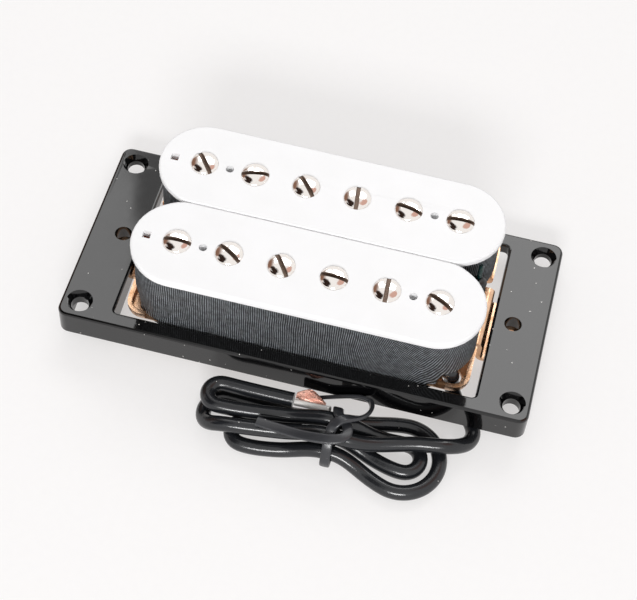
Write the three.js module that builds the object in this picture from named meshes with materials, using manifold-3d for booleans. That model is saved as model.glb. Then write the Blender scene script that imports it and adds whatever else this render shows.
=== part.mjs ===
// Open-coil humbucking guitar pickup in its plastic mounting ring, with its cable tied in a hank.
// Millimetres, +Z up. The origin is on the ground under the pickup's centre; +X runs along the rows
// of pole screws and +Y points away from the side where the cable lies.
// The pickup stands on the tips of its twelve pole screws, and the ring rests on the two ears of
// the baseplate, so the model's levels are worked out upwards from the screw tips.

import * as THREE from 'three';
import { mergeVertices } from 'three/addons/utils/BufferGeometryUtils.js';
import Module from 'manifold-3d';

const wasm = await Module();
wasm.setup();

// Pole screws
const stringPitch = 10;
const polesPerRow = 6;
const shankDiameter = 3.175;
const shankLength = 22.2;
const tipChamfer = 0.4;
const headDiameter = 5.1;
const headRim = 1.35;
const headDome = 0.85;
const slotWidth = 0.8;
const slotDepth = 1;
const poleClearance = 0.2;
const headClearance = 0.15;
const headSeatDepth = 1.4;

// The slot of each screw points its own way, as the screws were left when they were set.
const frontSlotDegrees = [1, -31, -55, -3, -87, -25];
const rearSlotDegrees = [-52, 12, -49, -84, -10, 2];

// Bobbins
const rowLength = (polesPerRow - 1) * stringPitch;
const bobbinEndMargin = 8.7;
const bobbinLength = rowLength + 2 * bobbinEndMargin;
const coreWidth = 7;
const windingDepth = 5.6;
const bobbinWidth = coreWidth + 2 * windingDepth;
const bobbinHeight = 12.3;
const bobbinGap = 0.5;
const rowSpacing = bobbinWidth + bobbinGap;
const topFlange = 1.8;
const topFlangeRound = 0.4;
const bottomFlange = 1.2;
const coreLength = rowLength + coreWidth;
const toolHoleDiameter = 1.6;
const toolHoleSpan = rowLength - stringPitch;
const windowSide = 1.5;
const windowOffset = bobbinLength / 2 - 2.85;
const footDiameter = 4;
const footSpan = bobbinLength - 7;

// Coils and the tape wound round them
const flangeOverhang = 0.5;
const tapeLength = bobbinLength - 2 * flangeOverhang;
const tapeWidth = bobbinWidth - 2 * flangeOverhang;
const tapeThickness = 0.5;
const coilClearance = 0.1;
const skirtLength = bobbinLength - 10.4;
const skirtLift = 0.2;
const skirtDepth = 4;

// Magnet circuit under the bobbins
const keeperLength = rowLength + 6;
const keeperWidth = coreWidth - 0.6;
const keeperThickness = 3.2;
const magnetLength = keeperLength + 7.5;
const magnetClearance = 0.05;

// Mounting ring, an open moulding with a sloping top
const openingClearanceX = 1.4;
const openingClearanceY = 0.3;
const ringEndWidth = 10.55;
const ringRailWidth = 3.15;
const openingLength = bobbinLength + 2 * openingClearanceX;
const openingWidth = rowSpacing + bobbinWidth + 2 * openingClearanceY;
const ringLength = openingLength + 2 * ringEndWidth;
const ringWidth = openingWidth + 2 * ringRailWidth;
const ringCorner = 2;
const openingCorner = 0.8;
const ringHeight = 4.2;
const ringSlopeDegrees = 5;
const ringPlate = 1.8;
const ringWall = 1.8;
const ringInnerWall = 1.4;
const ringRound = 0.5;
const cavityCorner = 1;
const cornerHoleInsetX = 3.55;
const cornerHoleInsetY = 3.9;
const cornerHoleSpanX = ringLength - 2 * cornerHoleInsetX;
const cornerHoleSpanY = ringWidth - 2 * cornerHoleInsetY;
const heightScrewInset = 3.95;
const heightScrewSpan = openingLength + 2 * heightScrewInset;
const ringHoleDiameter = 3.4;
const countersinkDiameter = 5.1;
const countersinkDepth = 1.45;
const cornerBossDiameter = 8;
const cornerBossDepth = 3.3;
const centreBossDiameter = 6.2;

// Baseplate, a brass sheet folded into a tray with a leg and an ear at each end
const sheet = 0.9;
const trayClearanceX = 1.7;
const trayClearanceY = 0.75;
const plateLength = openingLength - 2 * trayClearanceX;
const plateWidth = openingWidth - 2 * trayClearanceY;
const plateCorner = 3.2;
const plateBend = 1.2;
const lipRise = 1.3;
const lipGapLength = plateLength - 8.4;
const legWidth = 13.1;
const legRelief = 1.45;
const legReliefDepth = 1.6;
const legInnerBend = 0.4;
const legLap = 3;
const earDrop = 4.8;
const earTipRadius = 2.95;
const earShoulder = 1.6;
const earHoleDiameter = 2.6;
const floorPoleHole = 4.2;

// Screws that hold the bobbins to the baseplate
const bobbinScrewDiameter = 2;
const bobbinScrewLength = 4;
const bobbinScrewHead = 3.8;
const bobbinScrewHeadHeight = 1.3;
const bobbinScrewDome = 0.5;
const bobbinScrewClearance = 0.15;
const floorScrewHole = 2.4;

// Cable: one insulated core in a braided shield under a black jacket
const cableDiameter = 2.9;
const coreDiameter = 1.3;
const cableHoleDiameter = 3.7;
const cableHoleInsetX = 3.4;
const cableHoleInsetY = 3.2;
const cableHoleX = plateLength / 2 - cableHoleInsetX;
const cableHoleY = cableHoleInsetY - plateWidth / 2;
const entryElbow = 1.8;
const entryLength = 14;
const entryClearance = 0.15;
const exitDrop = 0.9;
const jointGap = 0.3;
const coreLeadLength = 45;
const coreLeadRise = 0.3;
const solderDiameter = 3;
const solderHeight = 1;
const solderOffset = 3.2;
const leadDiameter = 0.9;

// Taped joint of the two coils, standing on the magnet in the gap between the bobbins' ends
const spliceDiameter = 3.4;
const spliceLength = 8;
const spliceRound = 0.5;
const spliceX = bobbinLength / 2 - 2.9;
const leadDegrees = 40;
const leadStand = 0.25;

// Hank
const strandPitch = 3.4;
const restGap = 0.05;
const waistX = -19.5;
const waistY = -15.85;
const waistLift = 1.8;
const waistHalf = 1.4;
const waistSpread = 9;
const branchSteps = 7;
const headSteps = 10;
const hankSides = 6;
const jacketEnd = new THREE.Vector2(-27.8, -11.15);
const tieDiameter = 1.5;

// Faceting and cutting
const roundSides = 16;
const hiddenSides = 12;
const cornerSteps = 6;
const endSteps = 10;
const cutOverrun = 1;
const coincident = 0.0001;

// Levels, from the screw tips on the ground upwards
const headSeat = shankLength;
const bobbinTop = headSeat + headSeatDepth;
const bobbinBase = bobbinTop - bobbinHeight;
const flangeUnderside = bobbinTop - topFlange;
const floorTop = bobbinBase - keeperThickness;
const floorUnderside = floorTop - sheet;
const lipTop = floorTop + lipRise;
const earTop = floorTop - earDrop;
const ringBase = earTop;
const ringTop = ringBase + ringHeight;
const ringSlope = THREE.MathUtils.degToRad(ringSlopeDegrees);
const cableRadius = cableDiameter / 2;
const rowPlaces = { front: -rowSpacing / 2, rear: rowSpacing / 2 };

// Materials
const finish = (color, roughness, metalness) => new THREE.MeshStandardMaterial({ color, roughness, metalness });
const whitePlastic = finish(0xf6f5f2, 0.35, 0);
const blackPlastic = finish(0x0c0c0e, 0.18, 0);
const blackTape = finish(0x1b1c1f, 0.5, 0);
const enamelledWire = finish(0x5a2a18, 0.4, 0.4);
const nickel = finish(0xc9c7c2, 0.2, 1);
const steel = finish(0x8d8f92, 0.4, 1);
const magnetGrey = finish(0x4a4a4c, 0.6, 0.6);
const brass = finish(0xd9ab78, 0.3, 1);
const blackJacket = finish(0x101113, 0.3, 0);
const copper = finish(0xb5583a, 0.4, 1);
const whiteInsulation = finish(0xf4f3ef, 0.4, 0);
const solderGrey = finish(0xa9abad, 0.3, 1);

const group = new THREE.Group();

function addNode(name, geometry, material) {
  const mesh = new THREE.Mesh(geometry, material);
  mesh.name = name;
  group.add(mesh);
  return mesh;
}

// Solids for cutting and joining
function toSolid(geometry) {
  const bare = geometry.clone();
  bare.deleteAttribute('normal');
  bare.deleteAttribute('uv');
  const merged = mergeVertices(bare, coincident);
  return new wasm.Manifold(new wasm.Mesh({
    numProp: 3,
    vertProperties: new Float32Array(merged.attributes.position.array),
    triVerts: new Uint32Array(merged.index.array),
  }));
}

function toGeometry(solid) {
  const mesh = solid.getMesh();
  const geometry = new THREE.BufferGeometry();
  geometry.setAttribute('position', new THREE.BufferAttribute(mesh.vertProperties, 3));
  geometry.setIndex(new THREE.BufferAttribute(mesh.triVerts, 1));
  geometry.computeVertexNormals();
  return geometry;
}

// A rectangle with round corners; a radius of half the width makes the ends half circles.
function roundedOutline(length, width, radius, steps) {
  const points = [];
  for (let corner = 0; corner < 4; corner += 1) {
    const signX = corner === 0 || corner === 3 ? 1 : -1;
    const signY = corner < 2 ? 1 : -1;
    const centre = new THREE.Vector2(signX * (length / 2 - radius), signY * (width / 2 - radius));
    for (let step = 0; step <= steps; step += 1) {
      const angle = (corner + step / steps) * Math.PI / 2;
      const spoke = new THREE.Vector2(Math.cos(angle), Math.sin(angle)).multiplyScalar(radius);
      const point = spoke.add(centre);
      if (points.every((other) => other.distanceTo(point) > coincident)) points.push(point);
    }
  }
  return points;
}

const stadium = (length, width) => roundedOutline(length, width, width / 2, endSteps);

function slab(points, bottom, top, holes = []) {
  const shape = new THREE.Shape(points);
  holes.forEach((hole) => shape.holes.push(new THREE.Path(hole)));
  const options = { depth: top - bottom, bevelEnabled: false };
  return new THREE.ExtrudeGeometry(shape, options).translate(0, 0, bottom);
}

// A slab whose upper and lower edges are rounded
function roundedSlab(points, bottom, top, radius, segments, holes = []) {
  const shape = new THREE.Shape(points);
  holes.forEach((hole) => shape.holes.push(new THREE.Path(hole)));
  const options = {
    depth: top - bottom - 2 * radius,
    bevelThickness: radius,
    bevelSize: radius,
    bevelOffset: -radius,
    bevelSegments: segments,
  };
  return new THREE.ExtrudeGeometry(shape, options).translate(0, 0, bottom + radius);
}

function block(lengthX, lengthY, bottom, top, x = 0, y = 0) {
  return new THREE.BoxGeometry(lengthX, lengthY, top - bottom).translate(x, y, (bottom + top) / 2);
}

function post(diameter, bottom, top, x, y, sides = roundSides) {
  const cylinder = new THREE.CylinderGeometry(diameter / 2, diameter / 2, top - bottom, sides);
  return cylinder.rotateX(Math.PI / 2).translate(x, y, (bottom + top) / 2);
}

function turned(profile, sides = roundSides) {
  const points = profile.map(([radius, height]) => new THREE.Vector2(radius, height));
  return new THREE.LatheGeometry(points, sides).rotateX(Math.PI / 2);
}

const cutAll = (solid, tools) => tools.reduce((left, tool) => left.subtract(toSolid(tool)), solid);
const joinAll = (solid, pieces) => pieces.reduce((sum, piece) => sum.add(toSolid(piece)), solid);

const poleX = (index) => (index - (polesPerRow - 1) / 2) * stringPitch;
const poleIndices = Array.from({ length: polesPerRow }, (unused, index) => index);

// Pole screw: slotted dome head, plain shank, chamfered tip
function poleScrew(slotDegrees) {
  const rimTop = headSeat + headRim;
  const headRadius = headDiameter / 2;
  const shankRadius = shankDiameter / 2;
  const domeShares = [[0.97, 0.12], [0.86, 0.45], [0.6, 0.8], [0.3, 0.95]];
  const screw = turned([
    [0, 0],
    [shankRadius - tipChamfer, 0],
    [shankRadius, tipChamfer],
    [shankRadius, headSeat],
    [headRadius, headSeat],
    [headRadius, rimTop],
    ...domeShares.map(([radiusShare, heightShare]) => [headRadius * radiusShare, rimTop + headDome * heightShare]),
    [0, rimTop + headDome],
  ]);
  const headTop = rimTop + headDome;
  const slot = block(headDiameter + cutOverrun, slotWidth, headTop - slotDepth, headTop + cutOverrun);
  slot.rotateZ(THREE.MathUtils.degToRad(slotDegrees));
  return toGeometry(cutAll(toSolid(screw), [slot]));
}

function poleScrews(row, slotDegrees) {
  poleIndices.forEach((index) => {
    const screw = addNode(`pole_screw_${row}_${index + 1}`, poleScrew(slotDegrees[index]), nickel);
    screw.position.set(poleX(index), rowPlaces[row], 0);
  });
}

// Bobbin: two flanges on a core, with counterbored pole holes, tooling holes, one square window
// in the upper flange, and two feet that carry the fixing screws
function bobbinGeometry() {
  const innerTapeLength = tapeLength - 2 * tapeThickness;
  const innerTapeWidth = tapeWidth - 2 * tapeThickness;
  const top = roundedSlab(stadium(bobbinLength, bobbinWidth), flangeUnderside, bobbinTop, topFlangeRound, 2);
  const flangeLength = innerTapeLength - 2 * coilClearance;
  const flangeWidth = innerTapeWidth - 2 * coilClearance;
  const bottom = slab(stadium(flangeLength, flangeWidth), bobbinBase, bobbinBase + bottomFlange);
  const core = slab(stadium(coreLength, coreWidth), bobbinBase, bobbinTop - topFlange / 2);
  const feet = [-1, 1].map((side) => (
    post(footDiameter, floorTop, bobbinBase + bottomFlange / 2, side * footSpan / 2, 0)
  ));
  const screwBore = bobbinScrewDiameter + 2 * bobbinScrewClearance;
  const screwTip = floorUnderside + bobbinScrewLength;
  const cuts = [-1, 1].map((side) => (
    post(screwBore, floorTop - cutOverrun, screwTip + bobbinScrewClearance, side * footSpan / 2, 0, hiddenSides)
  ));
  poleIndices.forEach((index) => {
    const bore = shankDiameter + 2 * poleClearance;
    const seat = headDiameter + 2 * headClearance;
    cuts.push(post(bore, bobbinBase - cutOverrun, bobbinTop + cutOverrun, poleX(index), 0));
    cuts.push(post(seat, headSeat, bobbinTop + cutOverrun, poleX(index), 0, 2 * roundSides));
  });
  [-1, 1].forEach((side) => {
    cuts.push(post(toolHoleDiameter, bobbinBase - cutOverrun, bobbinTop + cutOverrun, side * toolHoleSpan / 2, 0));
  });
  cuts.push(block(windowSide, windowSide, flangeUnderside - cutOverrun, bobbinTop + cutOverrun, -windowOffset));
  return toGeometry(cutAll(joinAll(toSolid(top), [bottom, core, ...feet]), cuts));
}

function coilGeometry() {
  const inset = 2 * (tapeThickness + coilClearance);
  const outside = stadium(tapeLength - inset, tapeWidth - inset);
  const inside = stadium(coreLength + 2 * coilClearance, coreWidth + 2 * coilClearance);
  const bottom = bobbinBase + bottomFlange + coilClearance;
  return slab(outside, bottom, flangeUnderside - coilClearance, [inside]);
}

// The tape: a band round the coil, which hangs down along the outer side to just above the tray
function tapeGeometry(outerSide) {
  const outside = stadium(tapeLength, tapeWidth);
  const inside = stadium(tapeLength - 2 * tapeThickness, tapeWidth - 2 * tapeThickness);
  const band = toSolid(slab(outside, bobbinBase, flangeUnderside, [inside]));
  const bottom = floorTop + skirtLift;
  const whole = toSolid(slab(outside, bottom, bobbinBase + tapeThickness, [inside]));
  const outerY = outerSide * tapeWidth / 2;
  const skirt = whole.intersect(toSolid(block(skirtLength, skirtDepth, bottom - cutOverrun, bobbinTop, 0, outerY)));
  return toGeometry(band.add(skirt));
}

function bobbinAssembly(row) {
  const place = (mesh) => mesh.position.setY(rowPlaces[row]);
  place(addNode(`bobbin_${row}`, bobbinGeometry(), whitePlastic));
  place(addNode(`coil_${row}`, coilGeometry(), enamelledWire));
  place(addNode(`coil_tape_${row}`, tapeGeometry(Math.sign(rowPlaces[row])), blackTape));
  place(addNode(`keeper_bar_${row}`, keeperGeometry(), steel));
}

// Keeper bar: the steel bar under a bobbin that its six screws pass through
function keeperGeometry() {
  const bar = toSolid(block(keeperLength, keeperWidth, floorTop, bobbinBase));
  const bore = shankDiameter + 2 * poleClearance;
  const bores = poleIndices.map((index) => (
    post(bore, floorTop - cutOverrun, bobbinBase + cutOverrun, poleX(index), 0, hiddenSides)
  ));
  return toGeometry(cutAll(bar, bores));
}

function magnetGeometry() {
  const width = rowSpacing - keeperWidth - 2 * magnetClearance;
  return block(magnetLength, width, floorTop, bobbinBase);
}

// The side view of one leg: a strip that runs off the floor, turns down and then out as the ear
function legProfile() {
  const inner = plateLength / 2;
  const outer = inner + sheet;
  const tip = heightScrewSpan / 2 + earTipRadius;
  const foldX = outer - plateBend;
  const foldZ = floorTop - plateBend;
  const earX = outer + legInnerBend;
  const earZ = earTop + legInnerBend;
  const arc = (x, z, radius, from, to) => {
    const curve = new THREE.EllipseCurve(x, z, radius, radius, from, to, to < from);
    return curve.getPoints(cornerSteps);
  };
  return [
    new THREE.Vector2(inner - legLap, floorTop),
    ...arc(foldX, foldZ, plateBend, Math.PI / 2, 0),
    ...arc(earX, earZ, legInnerBend, Math.PI, 3 * Math.PI / 2),
    new THREE.Vector2(tip, earTop),
    new THREE.Vector2(tip, earTop - sheet),
    ...arc(earX, earZ, legInnerBend + sheet, 3 * Math.PI / 2, Math.PI),
    ...arc(foldX, foldZ, plateBend - sheet, 0, Math.PI / 2),
    new THREE.Vector2(inner - legLap, floorUnderside),
  ];
}

// The plan of one leg: full width at the fold, narrowing to a round tip about the screw hole
function legPlan() {
  const holeX = heightScrewSpan / 2;
  const shoulder = plateLength / 2 + sheet + earShoulder;
  const tipCurve = new THREE.EllipseCurve(holeX, 0, earTipRadius, earTipRadius, -Math.PI / 3, Math.PI / 3);
  return [
    new THREE.Vector2(plateLength / 2 - legLap, -legWidth / 2),
    new THREE.Vector2(shoulder, -legWidth / 2),
    ...tipCurve.getPoints(endSteps),
    new THREE.Vector2(shoulder, legWidth / 2),
    new THREE.Vector2(plateLength / 2 - legLap, legWidth / 2),
  ];
}

function legSolid() {
  const options = { depth: legWidth, bevelEnabled: false };
  const strip = new THREE.ExtrudeGeometry(new THREE.Shape(legProfile()), options);
  strip.rotateX(Math.PI / 2).translate(0, legWidth / 2, 0);
  const plan = slab(legPlan(), earTop - sheet - cutOverrun, floorTop + cutOverrun);
  const hole = post(earHoleDiameter, earTop - sheet - cutOverrun, earTop + cutOverrun, heightScrewSpan / 2, 0);
  return toSolid(strip).intersect(toSolid(plan)).subtract(toSolid(hole));
}

function baseplateGeometry() {
  const outline = roundedOutline(plateLength, plateWidth, plateCorner, cornerSteps);
  const outer = roundedSlab(outline, floorUnderside, lipTop + plateBend, plateBend, 3);
  const innerCorner = plateCorner - sheet;
  const innerOutline = roundedOutline(plateLength - 2 * sheet, plateWidth - 2 * sheet, innerCorner, cornerSteps);
  const cuts = [
    slab(innerOutline, floorTop, lipTop + 2 * plateBend),
    block(plateLength + cutOverrun, plateWidth + cutOverrun, lipTop, lipTop + 2 * plateBend),
    block(lipGapLength, plateWidth + cutOverrun, floorTop, lipTop + cutOverrun),
    post(cableHoleDiameter, floorUnderside - cutOverrun, floorTop + cutOverrun, cableHoleX, cableHoleY),
  ];
  const through = (diameter, x, y) => (
    post(diameter, floorUnderside - cutOverrun, floorTop + cutOverrun, x, y, hiddenSides)
  );
  [-1, 1].forEach((side) => {
    const gapWidth = legWidth + 2 * legRelief;
    const gapX = side * plateLength / 2;
    cuts.push(block(2 * legReliefDepth, gapWidth, floorUnderside - cutOverrun, lipTop + cutOverrun, gapX));
  });
  Object.values(rowPlaces).forEach((rowY) => {
    poleIndices.forEach((index) => cuts.push(through(floorPoleHole, poleX(index), rowY)));
    [-1, 1].forEach((side) => cuts.push(through(floorScrewHole, side * footSpan / 2, rowY)));
  });
  const tray = cutAll(toSolid(outer), cuts);
  const leg = legSolid();
  return toGeometry(tray.add(leg).add(leg.rotate([0, 0, 180])));
}

function bobbinScrews() {
  const shankRadius = bobbinScrewDiameter / 2;
  const headRadius = bobbinScrewHead / 2;
  const rim = bobbinScrewHeadHeight - bobbinScrewDome;
  const screw = turned([
    [0, -bobbinScrewHeadHeight],
    [headRadius * 0.6, -rim - bobbinScrewDome * 0.8],
    [headRadius, -rim],
    [headRadius, 0],
    [shankRadius, 0],
    [shankRadius, bobbinScrewLength],
    [0, bobbinScrewLength],
  ]);
  Object.entries(rowPlaces).forEach(([row, rowY]) => {
    [['left', -1], ['right', 1]].forEach(([end, side]) => {
      const mesh = addNode(`bobbin_screw_${row}_${end}`, screw, nickel);
      mesh.position.set(side * footSpan / 2, rowY, floorUnderside);
    });
  });
}

// Mounting ring: the top slopes down towards the rear, the ends are hollow underneath, and the
// level base rests on the ears of the baseplate.
const ringTopAt = (y) => ringTop - y * Math.tan(ringSlope);

function slopeTop(geometry, above) {
  const position = geometry.attributes.position;
  for (let index = 0; index < position.count; index += 1) {
    const z = position.getZ(index);
    if (z > above) position.setZ(index, z - position.getY(index) * Math.tan(ringSlope));
  }
  return geometry;
}

function ringCuts() {
  const cavityTop = ringTop - ringPlate;
  const cavityInner = openingLength / 2 + ringInnerWall;
  const cavityOuter = ringLength / 2 - ringWall;
  const cavityLength = cavityOuter - cavityInner;
  const outline = roundedOutline(cavityLength, ringWidth - 2 * ringWall, cavityCorner, cornerSteps / 2);
  const cavity = slopeTop(slab(outline, ringBase - cutOverrun, cavityTop), ringBase);
  const cavityX = (cavityInner + cavityOuter) / 2;
  return [-1, 1].map((side) => cavity.clone().translate(side * cavityX, 0, 0));
}

const cornerPlaces = [-1, 1].flatMap((sideX) => [-1, 1].map((sideY) => (
  [sideX * cornerHoleSpanX / 2, sideY * cornerHoleSpanY / 2]
)));

function ringBosses() {
  const bossTop = (y) => ringTopAt(y) - ringPlate / 2;
  const corners = cornerPlaces.map(([x, y]) => (
    post(cornerBossDiameter, ringTopAt(y) - cornerBossDepth, bossTop(y), x, y)
  ));
  const centres = [-1, 1].map((side) => (
    post(centreBossDiameter, ringBase, bossTop(0), side * heightScrewSpan / 2, 0)
  ));
  return [...corners, ...centres];
}

function ringHoles() {
  const centres = [-1, 1].map((side) => [side * heightScrewSpan / 2, 0]);
  const bores = [...cornerPlaces, ...centres].map(([x, y]) => (
    post(ringHoleDiameter, ringBase - cutOverrun, ringTopAt(y) + cutOverrun, x, y, 2 * roundSides)
  ));
  const cone = turned([
    [0, -countersinkDepth],
    [ringHoleDiameter / 2, -countersinkDepth],
    [countersinkDiameter / 2, 0],
    [countersinkDiameter / 2, cutOverrun],
    [0, cutOverrun],
  ], 2 * roundSides).rotateX(-ringSlope);
  const cones = cornerPlaces.map(([x, y]) => cone.clone().translate(x, y, ringTopAt(y)));
  return [...bores, ...cones];
}

function ringGeometry() {
  const outline = roundedOutline(ringLength, ringWidth, ringCorner, cornerSteps);
  const opening = roundedOutline(openingLength, openingWidth, openingCorner, cornerSteps);
  const middle = (ringBase + ringTop) / 2;
  const body = slopeTop(roundedSlab(outline, ringBase - ringRound, ringTop, ringRound, 2, [opening]), middle);
  const under = block(ringLength + cutOverrun, ringWidth + cutOverrun, ringBase - 2 * ringRound, ringBase);
  const whole = cutAll(toSolid(body), [under]);
  const shell = cutAll(whole, ringCuts());
  const bosses = ringBosses().map((boss) => toSolid(boss).intersect(whole));
  const bossed = bosses.reduce((sum, boss) => sum.add(boss), shell);
  return toGeometry(cutAll(bossed, ringHoles()));
}

// Tubes and cords
const vector = ([x, y, z]) => new THREE.Vector3(x, y, z);

function tube(points, diameter, sides, steps) {
  const curve = new THREE.CatmullRomCurve3(points.map(vector), false, 'centripetal');
  curve.arcLengthDivisions = 20 * steps;
  const section = Array.from({ length: sides }, (unused, index) => {
    const angle = 2 * Math.PI * index / sides;
    return new THREE.Vector2(Math.cos(angle), Math.sin(angle)).multiplyScalar(diameter / 2);
  });
  return new THREE.ExtrudeGeometry(new THREE.Shape(section), { steps, extrudePath: curve });
}

// A tube whose rings stand on the given points, with the section carried along without twist
function strandTube(points, diameter, sides) {
  const rings = points.length;
  const tangents = points.map((point, index) => {
    const before = points[Math.max(index - 1, 0)];
    const after = points[Math.min(index + 1, rings - 1)];
    return after.clone().sub(before).normalize();
  });
  const positions = [];
  const faces = [];
  let normal = new THREE.Vector3(0, 0, 1);
  points.forEach((point, ring) => {
    const tangent = tangents[ring];
    normal = normal.clone().addScaledVector(tangent, -normal.dot(tangent)).normalize();
    const side = new THREE.Vector3().crossVectors(tangent, normal);
    for (let corner = 0; corner < sides; corner += 1) {
      const angle = 2 * Math.PI * (corner + 0.5) / sides;
      const spoke = normal.clone().multiplyScalar(Math.cos(angle)).addScaledVector(side, Math.sin(angle));
      positions.push(...spoke.multiplyScalar(diameter / 2).add(point).toArray());
    }
  });
  for (let ring = 0; ring < rings - 1; ring += 1) {
    for (let corner = 0; corner < sides; corner += 1) {
      const next = (corner + 1) % sides;
      const here = ring * sides;
      const there = here + sides;
      faces.push(here + corner, here + next, there + corner);
      faces.push(here + next, there + next, there + corner);
    }
  }
  const last = (rings - 1) * sides;
  for (let corner = 1; corner < sides - 1; corner += 1) {
    faces.push(0, corner + 1, corner);
    faces.push(last, last + corner, last + corner + 1);
  }
  const geometry = new THREE.BufferGeometry();
  geometry.setAttribute('position', new THREE.Float32BufferAttribute(positions, 3));
  geometry.setIndex(faces);
  geometry.computeVertexNormals();
  return geometry;
}

// The jacketed cable inside the tray: along the floor and down through the hole near the corner
function cableEntry() {
  const floorZ = floorTop + cableRadius + entryClearance;
  const elbowX = cableHoleX - entryElbow;
  const elbow = new THREE.EllipseCurve(elbowX, floorZ - entryElbow, entryElbow, entryElbow, Math.PI / 2, 0, true);
  const points = [
    [cableHoleX - entryLength, cableHoleY, floorZ],
    [(cableHoleX - entryLength + elbowX) / 2, cableHoleY, floorZ],
    ...elbow.getPoints(cornerSteps).map((point) => [point.x, cableHoleY, point.y]),
    [cableHoleX, cableHoleY, floorUnderside],
  ];
  addNode('cable_entry', strandTube(points.map(vector), cableDiameter, 12), blackJacket);
}

function innerLeads() {
  const floorZ = floorTop + cableRadius + entryClearance;
  const start = cableHoleX - entryLength - jointGap;
  const coreZ = floorZ + coreLeadRise;
  const coreStops = [0, 0.5, 1].map((share) => [start - coreLeadLength * share, cableHoleY, coreZ]);
  addNode('core_lead', strandTube(coreStops.map(vector), coreDiameter, 8), whiteInsulation);
  const solderRadius = solderDiameter / 2;
  const solder = turned([
    [0, 0],
    [solderRadius, 0],
    [solderRadius * 0.8, solderHeight * 0.6],
    [solderRadius * 0.4, solderHeight * 0.92],
    [0, solderHeight],
  ], 12);
  addNode('shield_solder', solder, solderGrey).position.set(start - solderOffset, cableHoleY, floorTop);
}

// The taped joint between the bobbins and the two coil leads that rise into it
function splice() {
  const radius = spliceDiameter / 2;
  const wrap = turned([
    [0, 0],
    [radius - spliceRound, 0],
    [radius, spliceRound],
    [radius, spliceLength - spliceRound],
    [radius - spliceRound, spliceLength],
    [0, spliceLength],
  ], 12);
  addNode('splice_wrap', wrap, blackTape).position.set(spliceX, 0, bobbinBase);
  const endX = (tapeLength - tapeWidth) / 2;
  const angle = THREE.MathUtils.degToRad(leadDegrees);
  const reach = tapeWidth / 2 + leadDiameter / 2 + leadStand;
  const splitY = leadDiameter;
  const spliceTop = bobbinBase + spliceLength;
  [['front', -1], ['rear', 1]].forEach(([row, side]) => {
    const tapeX = endX + reach * Math.cos(angle);
    const tapeY = side * (rowSpacing / 2 - reach * Math.sin(angle));
    const points = [
      [spliceX, side * splitY, spliceTop + leadStand],
      [spliceX, side * splitY, spliceTop + leadDiameter],
      [(spliceX + tapeX) / 2, (side * splitY + tapeY) / 2, spliceTop + leadDiameter],
      [tapeX, tapeY, spliceTop],
      [tapeX, tapeY, spliceTop - 2 * leadDiameter],
    ];
    addNode(`coil_lead_${row}`, tube(points, leadDiameter, 8, 10), blackJacket);
  });
}

// Hank: five strands pass the waist, three on the ground and two on top of them. Each lobe leaves
// a slot of the waist, runs out to a round head and comes back to another slot. The points of the
// cable and of what is on it are counted from the hole in the tray that the cable comes out of.
const restZ = cableRadius + restGap;
const upperZ = restZ + strandPitch;
const slots = {
  low_far: [waistY + strandPitch, restZ],
  low_middle: [waistY, restZ],
  low_near: [waistY - strandPitch, restZ],
  high_far: [waistY + strandPitch / 2, upperZ],
  high_near: [waistY - strandPitch / 2, upperZ],
};

// side: 1 to the right of the waist, -1 to the left. turn: 1 counterclockwise seen from above.
// wraps: degrees that the round head takes before and after its outermost point.
// leave: degrees by which the lobe leaves the waist turned away from the bundle.
// climbShares: the stretch of the lobe over which the cable changes level.
const lobes = [
  { from: 'high_near', to: 'low_far', side: -1, head: [-40.4, -15.75], radius: 3.65, turn: -1,
    wraps: [90, 92], climbShares: [0.24, 0.47] },
  { from: 'low_far', to: 'low_near', side: 1, head: [-5.5, -16.1], radius: 7.05, turn: -1,
    wraps: [96, 108], climbShares: [0, 1], leave: 20 },
  { from: 'low_near', to: 'low_middle', side: -1, head: [-35.4, -18.45], radius: 2.55, turn: -1,
    wraps: [84, 90], climbShares: [0, 1] },
  { from: 'low_middle', to: 'high_far', side: 1, head: [-5, -15.9], radius: 2.95, turn: 1,
    wraps: [92, 88], climbShares: [0.76, 0.99] },
  { from: 'high_far', to: null, side: -1, head: [-41.4, -13.55], radius: 2.45, turn: -1,
    wraps: [90, 92], climbShares: [0, 1] },
];

const plan = (x, y) => new THREE.Vector2(x, y);
const smoothStep = (share) => THREE.MathUtils.smoothstep(share, 0, 1);

// A cubic branch between two points with the given headings
function branch(start, startHeading, end, endHeading) {
  const reach = start.distanceTo(end) / 3;
  const first = start.clone().addScaledVector(startHeading, reach);
  const second = end.clone().addScaledVector(endHeading, -reach);
  return new THREE.CubicBezierCurve(start, first, second, end).getPoints(branchSteps);
}

function lobePoints({ from, to, side, head, radius, turn, wraps, climbShares, leave = 0 }) {
  const outward = side > 0 ? 0 : Math.PI;
  const [before, after] = wraps.map(THREE.MathUtils.degToRad);
  const startAngle = outward - turn * before;
  const endAngle = outward + turn * after;
  const heading = (angle) => plan(-Math.sin(angle), Math.cos(angle)).multiplyScalar(turn);
  const circle = new THREE.EllipseCurve(...head, radius, radius, startAngle, endAngle, turn < 0);
  const round = circle.getPoints(headSteps);
  const start = plan(waistX + side * waistHalf, slots[from][0]);
  const end = to ? plan(waistX + side * waistHalf, slots[to][0]) : jacketEnd;
  const outHeading = plan(side, 0).rotateAround(plan(0, 0), THREE.MathUtils.degToRad(leave));
  const out = branch(start, outHeading, round[0], heading(startAngle));
  const back = branch(round[headSteps], heading(endAngle), end, plan(-side, 0));
  const flat = [...out, ...round.slice(1), ...back.slice(1)];
  const startZ = slots[from][1];
  const endZ = to ? slots[to][1] : startZ;
  const [climbFrom, climbTo] = climbShares;
  return flat.map((point, index) => {
    const share = index / (flat.length - 1);
    const climb = smoothStep((share - climbFrom) / (climbTo - climbFrom));
    const lift = waistLift * smoothStep(1 - Math.abs(point.x - waistX) / waistSpread);
    return new THREE.Vector3(point.x, point.y, startZ + (endZ - startZ) * climb + lift);
  });
}

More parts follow.
